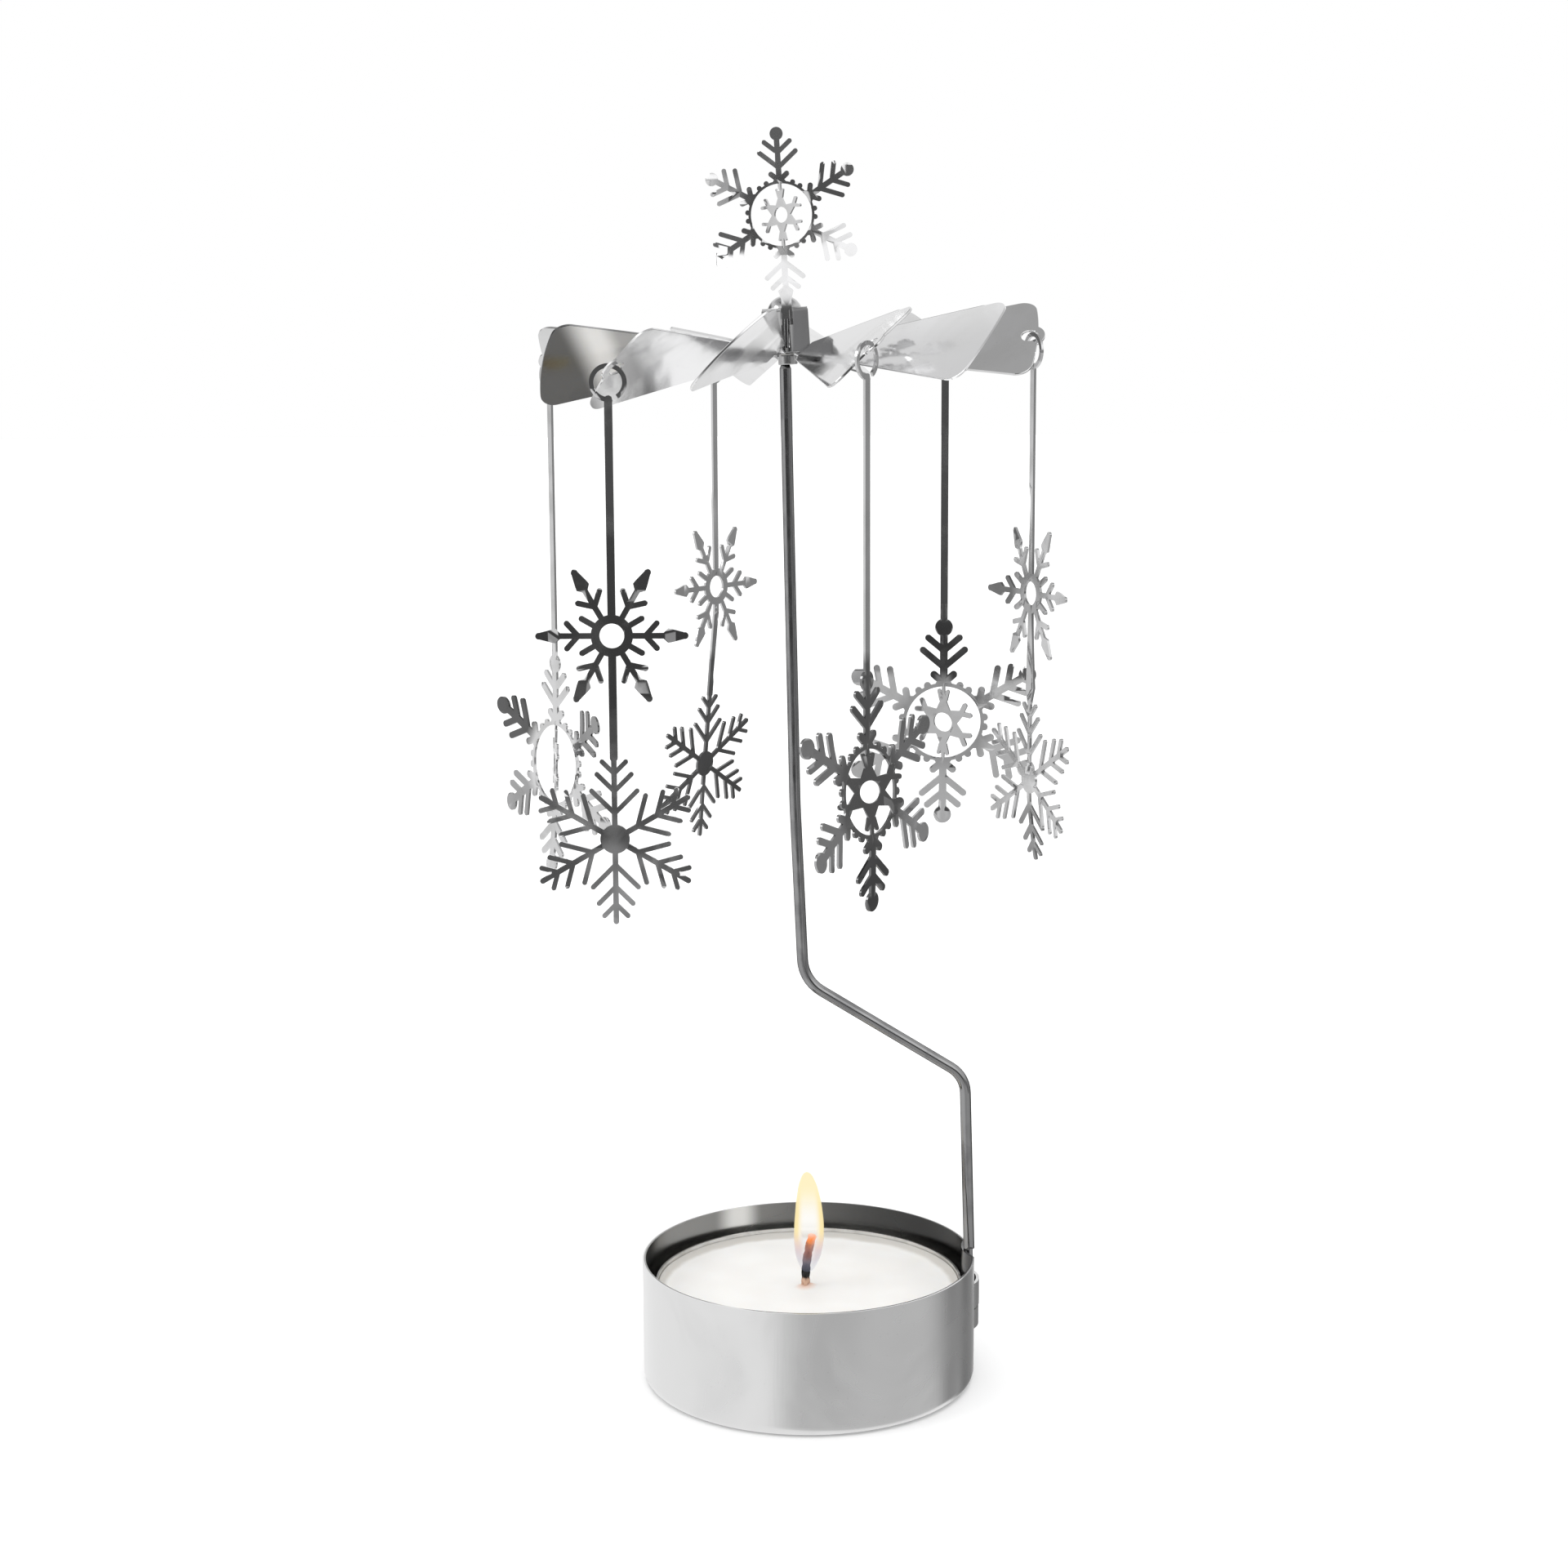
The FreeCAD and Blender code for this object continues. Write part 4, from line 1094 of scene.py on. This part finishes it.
@dataclass
class Snowflakes:
    """The hanging snowflakes and the one on top, gently bent as thin sheet is.

    Arms are counted from the upper one, towards the side that the piece's own first axis points to.
    """

    cell: float = 1.5
    edge: float = 0.01
    root_blend: float = 1.2
    root_share: float = 0.55
    margin: float = 2.0
    top_reach: float = 10.02
    top_foot: float = 10.55
    top_face: tuple[float, float] = (5.0, 3.5)
    plating: Plating = Plating("pendant_plating", (0.60, 0.60, 0.605), (0.53, 0.53, 0.53), 0.08, 0.2,
                               wave_scale=160.0, wave_height=0.10, smudge_scale=190.0)

    def pieces(self) -> tuple[Hanging, ...]:
        """List the pieces and their bends, in millimetres and degrees."""
        upright = (0.0, 1.0, -1.0, 0.0, 1.0, -1.0)
        spear = Flake(28.25, 3.0, 0.0, upright, 10.0, skew=30.0)
        barbed = Flake(51.7, 2.0, 0.0, (0.0, 1.0, -1.5, 0.5, -1.5, 1.0), 12.0)
        large = Flake(47.5, 5.6, 0.0, upright, 12.5)
        # Each flake's painted light and shade levels scale the colour of its middle and of each arm.
        return (
            Hanging("double_pendant_1", "double_pendant_1", Slot.PENDANT,
                    (replace(spear, arms=(0.0, 3.0, -3.0, 2.0, 12.0, -2.0),
                             painted_light_levels=(0.6, 0.9, 0.9, 0.95, 0.8, 0.3, 0.9)),
                     replace(barbed, drop=50.5, arms=(0.0, -2.0, 4.0, -9.0, 3.0, 2.0),
                             painted_light_levels=(1.1, 0.85, 0.9, 0.85, 0.45, 0.85, 0.9)))),
            Hanging("double_pendant_2", "double_pendant_2", Slot.PENDANT,
                    (spear, replace(barbed, painted_light_levels=(0.36, 0.45, 0.36, 0.4, 0.55, 0.36, 0.4)))),
            Hanging("double_pendant_3", "double_pendant_3", Slot.PENDANT,
                    (replace(spear, arms=(0.0,) * 6,
                             painted_light_levels=(0.65, 0.7, 0.65, 0.7, 0.65, 0.62, 0.68)),
                     replace(barbed, painted_light_levels=(0.85, 1.1, 1.5, 1.25, 0.8, 1.25, 1.3))), swell=0.035),
            Hanging("large_pendant_1", "large_pendant_1", Slot.PENDANT,
                    (replace(large, nod=8.0, arms=(0.0, -3.0, 4.0, 3.0, 4.0, 5.0),
                             painted_light_levels=(0.75, 0.6, 1.3, 1.1, 1.0, 1.1, 1.1)),), swell=0.045),
            Hanging("large_pendant_2", "large_pendant_2", Slot.PENDANT,
                    (replace(large, nod=2.0, arms=(0.0, -11.0, 3.0, -4.0, 4.0, -12.0),
                             painted_light_levels=(1.1, 1.1, 0.2, 0.6, 1.05, 1.05, 0.4)),), swell=0.03),
            Hanging("large_pendant_3", "large_pendant_3", Slot.PENDANT,
                    (replace(large, nod=4.0, arms=(0.0, 5.0, -5.0, 6.0, 4.0, -4.0),
                             painted_light_levels=(0.38, 0.36, 0.6, 0.7, 0.32, 0.85, 0.62)),), swell=0.045),
            Hanging("top_snowflake", Body.ROTOR.value, Slot.SHEET,
                    (Flake(0.0, 4.2, 0.0, (1.0, 2.0, 15.0, 0.0, 2.0, -9.0), 9.5, lean=0.15,
                           painted_light_levels=(1.0, 1.6, 1.1, 1.0, 1.0, 1.55, 1.15)),), swell=0.0),
        )

    def frame_of(self, piece: Hanging) -> tuple[Vector, Vector, Vector, Vector]:
        """Find where a piece hangs and how it faces.

        Args:
            piece: the piece.

        Returns:
            The point that drops are measured from, and the unit directions along the sheet, up and
            out of its face.
        """
        for joint in frame["joints"]:
            if joint["child"] == piece.body and joint["name"].endswith("_swing"):
                face = Vector(joint["axis"]).normalized()
                return Vector(joint["pos_m"]), UP.cross(face), UP, face
        low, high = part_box(piece.node)
        turn, lean = (math.radians(angle) for angle in self.top_face)
        spin = Euler((0.0, -lean, 0.0)).to_matrix() @ Euler((0.0, 0.0, -turn)).to_matrix()
        crown = Vector(((low.x + high.x) / 2, (low.y + high.y) / 2, high.z - self.top_reach * MM))
        return crown, spin @ Vector((1.0, 0.0, 0.0)), spin @ UP, spin @ Vector((0.0, -1.0, 0.0))

    def bend(self, mesh: Mesh, piece: Hanging) -> None:
        """Bend a piece's snowflakes out of their plane and store the painted light and shade that each part's
        colour is scaled by.

        Args:
            mesh: the piece's mesh, cut into small cells.
            piece: how it is bent.
        """
        hang, along, up, face = self.frame_of(piece)
        # Painted light and shade, stored on the sheet for its colour.
        tone = mesh.verts.layers.float.new("tone")
        for vertex in mesh.verts:
            vertex[tone] = 1.0
        for flake in piece.flakes:
            middle = hang - up * flake.drop * MM
            for vertex in mesh.verts:
                offset = vertex.co - middle
                u, v = offset.dot(along) / MM, offset.dot(up) / MM
                if max(abs(u), abs(v)) > flake.reach + self.margin:
                    continue
                arm = round((math.degrees(math.atan2(u, v)) - flake.skew) / 60.0) % 6
                turn = math.radians(arm * 60.0 + flake.skew)
                reach = u * math.sin(turn) + v * math.cos(turn) - flake.root
                share = min(max(reach / self.root_blend, 0.0), 1.0)
                vertex[tone] = flake.painted_light_levels[0] + (flake.painted_light_levels[arm + 1] - flake.painted_light_levels[0]) * share
                if reach > 0.0:
                    out = self.root_share + (1.0 - self.root_share) * min(1.0, reach / flake.reach)
                    tilt = math.radians(flake.arms[arm]) * out
                    outward = along * math.sin(turn) + up * math.cos(turn)
                    vertex.co += face * math.sin(tilt) * reach * MM
                    vertex.co -= outward * (1.0 - math.cos(tilt)) * reach * MM
            if flake.lean:
                for vertex in mesh.verts:
                    v = (vertex.co - middle).dot(up) / MM
                    rise = min(max(v + self.top_foot, 0.0), self.top_foot - flake.root)
                    vertex.co -= face * rise * flake.lean * MM
            if flake.nod:
                hinge = middle + up * flake.root * MM
                spin = Matrix.Rotation(math.radians(flake.nod), 3, along)
                for vertex in mesh.verts:
                    if (vertex.co - hinge).dot(up) < 0.0:
                        vertex.co = hinge + spin @ (vertex.co - hinge)

    def tone(self, graph: Graph, plain: Socket) -> Socket:
        """Scale the colour by the painted light and shade stored on the sheet and return it."""
        return graph.scaled(plain, graph.add("ShaderNodeAttribute", attribute_name="tone").outputs["Fac"])

    def build(self, marks: bpy.types.NodeTree) -> list[bpy.types.Object]:
        """Make every snowflake piece.

        Args:
            marks: the group of handling marks.

        Returns:
            The pieces.
        """
        material = self.plating.make(marks, self.tone)
        made = []
        for piece in self.pieces():
            mesh = sheet_copy(piece.node, self.frame_of(piece)[3], self.cell, self.edge, piece.swell)
            self.bend(mesh, piece)
            name = piece.node.replace("pendant", "hanging") + "_bent"
            sheet = finished_piece(name, plain_mesh(name, mesh, material), piece.body, piece.slot, sharp=28.0)
            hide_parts(piece.node)
            made.append(sheet)
        return made


# ---- Studio ----------------------------------------------------------------------------------

@dataclass(frozen=True)
class Camera:
    """Where the camera stands and how it is turned, in metres and radians, and its lens in millimetres."""

    eye: tuple[float, float, float] = (0.0, -0.3302, 0.13285)
    pitch: float = 0.1724
    yaw: float = -0.0083
    roll: float = -0.0053
    lens: float = 63.306
    sensor: float = 36.0
    sees: Span = (0.01, 20.0)

    def build(self) -> None:
        """Make the camera and give it to the scene."""
        level = math.cos(self.pitch)
        ahead = Vector((math.sin(self.yaw) * level, math.cos(self.yaw) * level, -math.sin(self.pitch)))
        right = Vector((math.cos(self.yaw), -math.sin(self.yaw), 0.0))
        up = right.cross(ahead)
        across = right * math.cos(self.roll) + up * math.sin(self.roll)
        upright = up * math.cos(self.roll) - right * math.sin(self.roll)
        data = bpy.data.cameras.new("camera")
        data.lens = self.lens
        data.sensor_width = self.sensor
        data.clip_start, data.clip_end = self.sees
        camera = new_object("camera", data)
        turn = Matrix((across, upright, -ahead)).transposed().to_4x4()
        camera.matrix_world = Matrix.Translation(self.eye) @ turn
        bpy.context.scene.camera = camera


@dataclass(frozen=True)
class Patch:
    """A darker or brighter patch of the studio, as the metal mirrors it."""

    azimuth: float
    elevation: float
    wide: float
    high: float
    soft: float
    level: float

    def factor(self, graph: Graph, aim: Socket) -> Socket:
        """Return the patch's level towards its middle and 1 away from it.

        Args:
            graph: the world's graph.
            aim: the unit direction that is looked up.

        Returns:
            The factor.
        """
        turn, rise = math.radians(self.azimuth), math.radians(self.elevation)
        ahead = Vector((math.sin(turn) * math.cos(rise), -math.cos(turn) * math.cos(rise), math.sin(rise)))
        side = Vector((math.cos(turn), math.sin(turn), 0.0))
        front, across, above = (graph.vector("DOT_PRODUCT", aim, tuple(axis))
                                for axis in (ahead, side, ahead.cross(side)))
        reach = graph.math("MAXIMUM", front, 0.02)
        parts = []
        for off, half in ((across, self.wide), (above, self.high)):
            part = graph.math("DIVIDE", graph.math("DIVIDE", off, reach), math.tan(math.radians(half)))
            parts.append(graph.math("POWER", graph.math("ABSOLUTE", part), 4.0))
        away = graph.math("POWER", graph.math("ADD", *parts), 0.25)
        return graph.ramp(away, 1.0 - self.soft, 1.0 + self.soft, self.level, 1.0)


@dataclass
class Studio:
    """Pale floor, a bright even backdrop, and darker and brighter patches that the metal mirrors."""

    floor_back: float = 2.5
    floor_front: float = 0.42
    floor_side: float = 2.5
    key_place: tuple[float, float, float] = (-0.7, -0.25, 0.55)
    key_target: tuple[float, float, float] = (0.0, 0.0, 0.06)
    key_size: float = 0.35
    key_watts: float = 1.2
    sky_strength: float = 1.35
    sky_angle: float = 70.0
    patches: tuple[Patch, ...] = (
        Patch(0.0, -1.5, 42.0, 11.0, 0.25, 0.11),
        Patch(64.0, -4.0, 20.0, 9.0, 0.4, 0.34),
        Patch(50.0, -38.0, 62.0, 26.0, 0.45, 0.66),
        Patch(149.0, -24.0, 14.0, 11.0, 0.5, 0.26),
        Patch(124.0, -23.0, 16.0, 9.5, 0.45, 0.46),
        Patch(118.0, -4.0, 26.0, 16.0, 0.5, 0.40),
        Patch(-118.0, 13.0, 30.0, 13.0, 0.45, 0.22),
        Patch(0.0, 90.0, 42.0, 42.0, 0.4, 0.52),
        Patch(0.0, 37.0, 55.0, 24.0, 0.35, 1.5),
    )

    def floor(self) -> None:
        """Make the floor."""
        mesh = bmesh.new()
        corners = ((-self.floor_side, -self.floor_front), (self.floor_side, -self.floor_front),
                   (self.floor_side, self.floor_back), (-self.floor_side, self.floor_back))
        mesh.faces.new([mesh.verts.new((x, y, 0.0)) for x, y in corners])
        material, graph, shader = blank_material("pale_floor")
        graph.feed(shader, {"Base Color": (0.9, 0.9, 0.9, 1.0), "Roughness": 0.9, "Specular IOR Level": 0.0})
        floor = new_object("floor", plain_mesh("floor", mesh, material))
        floor.visible_glossy = False

    def world(self) -> None:
        """Make the surroundings: even white for the eye and for matt surfaces, a studio for the metal."""
        world = bpy.data.worlds.new("studio")
        bpy.context.scene.world = world
        world.use_nodes = True
        world.node_tree.nodes.clear()
        graph = Graph(world.node_tree)
        aim = graph.add("ShaderNodeTexCoord").outputs["Generated"]
        level: Socket | float = 1.0
        for patch in self.patches:
            level = graph.math("MULTIPLY", level, patch.factor(graph, aim))
        mirrored = graph.add("ShaderNodeBackground", {"Color": (1.0, 1.0, 1.0, 1.0), "Strength": level})
        plain = graph.add("ShaderNodeBackground", {"Color": (1.0, 1.0, 1.0, 1.0), "Strength": 1.0})
        glossy = graph.add("ShaderNodeLightPath").outputs["Is Glossy Ray"]
        mixed = graph.add("ShaderNodeMixShader", {0: glossy, 1: plain.outputs[0], 2: mirrored.outputs[0]})
        graph.add("ShaderNodeOutputWorld", {"Surface": mixed.outputs[0]})

    def lights(self) -> None:
        """Hang a square soft light, and a wide soft sky that the metal doesn't mirror."""
        key = bpy.data.lights.new("key", "AREA")
        key.shape = "SQUARE"
        key.size = self.key_size
        key.energy = self.key_watts
        lamp = new_object("key", key)
        lamp.location = self.key_place
        aim = Vector(self.key_target) - Vector(self.key_place)
        lamp.rotation_euler = aim.to_track_quat("-Z", "Y").to_euler()
        lamp.visible_camera = False
        sky = bpy.data.lights.new("sky", "SUN")
        sky.energy = self.sky_strength
        sky.angle = math.radians(self.sky_angle)
        new_object("sky", sky).visible_glossy = False

    def build(self) -> None:
        """Make the floor, the world and the lights."""
        self.floor()
        self.world()
        self.lights()
        bpy.context.scene.view_settings.view_transform = "Standard"


def main() -> None:
    """Build the holder and the studio round it."""
    logging.basicConfig(level=logging.INFO, format="%(name)s: %(message)s")
    Camera().build()
    Studio().build()
    marks = handling_marks_group()
    Metalwork().build(marks)
    for piece in [Rotor().build(marks)] + Snowflakes().build(marks) + Candle().build():
        log.info("made %s with %d faces", piece.name, len(piece.data.polygons))


if __name__ == "__main__":
    main()
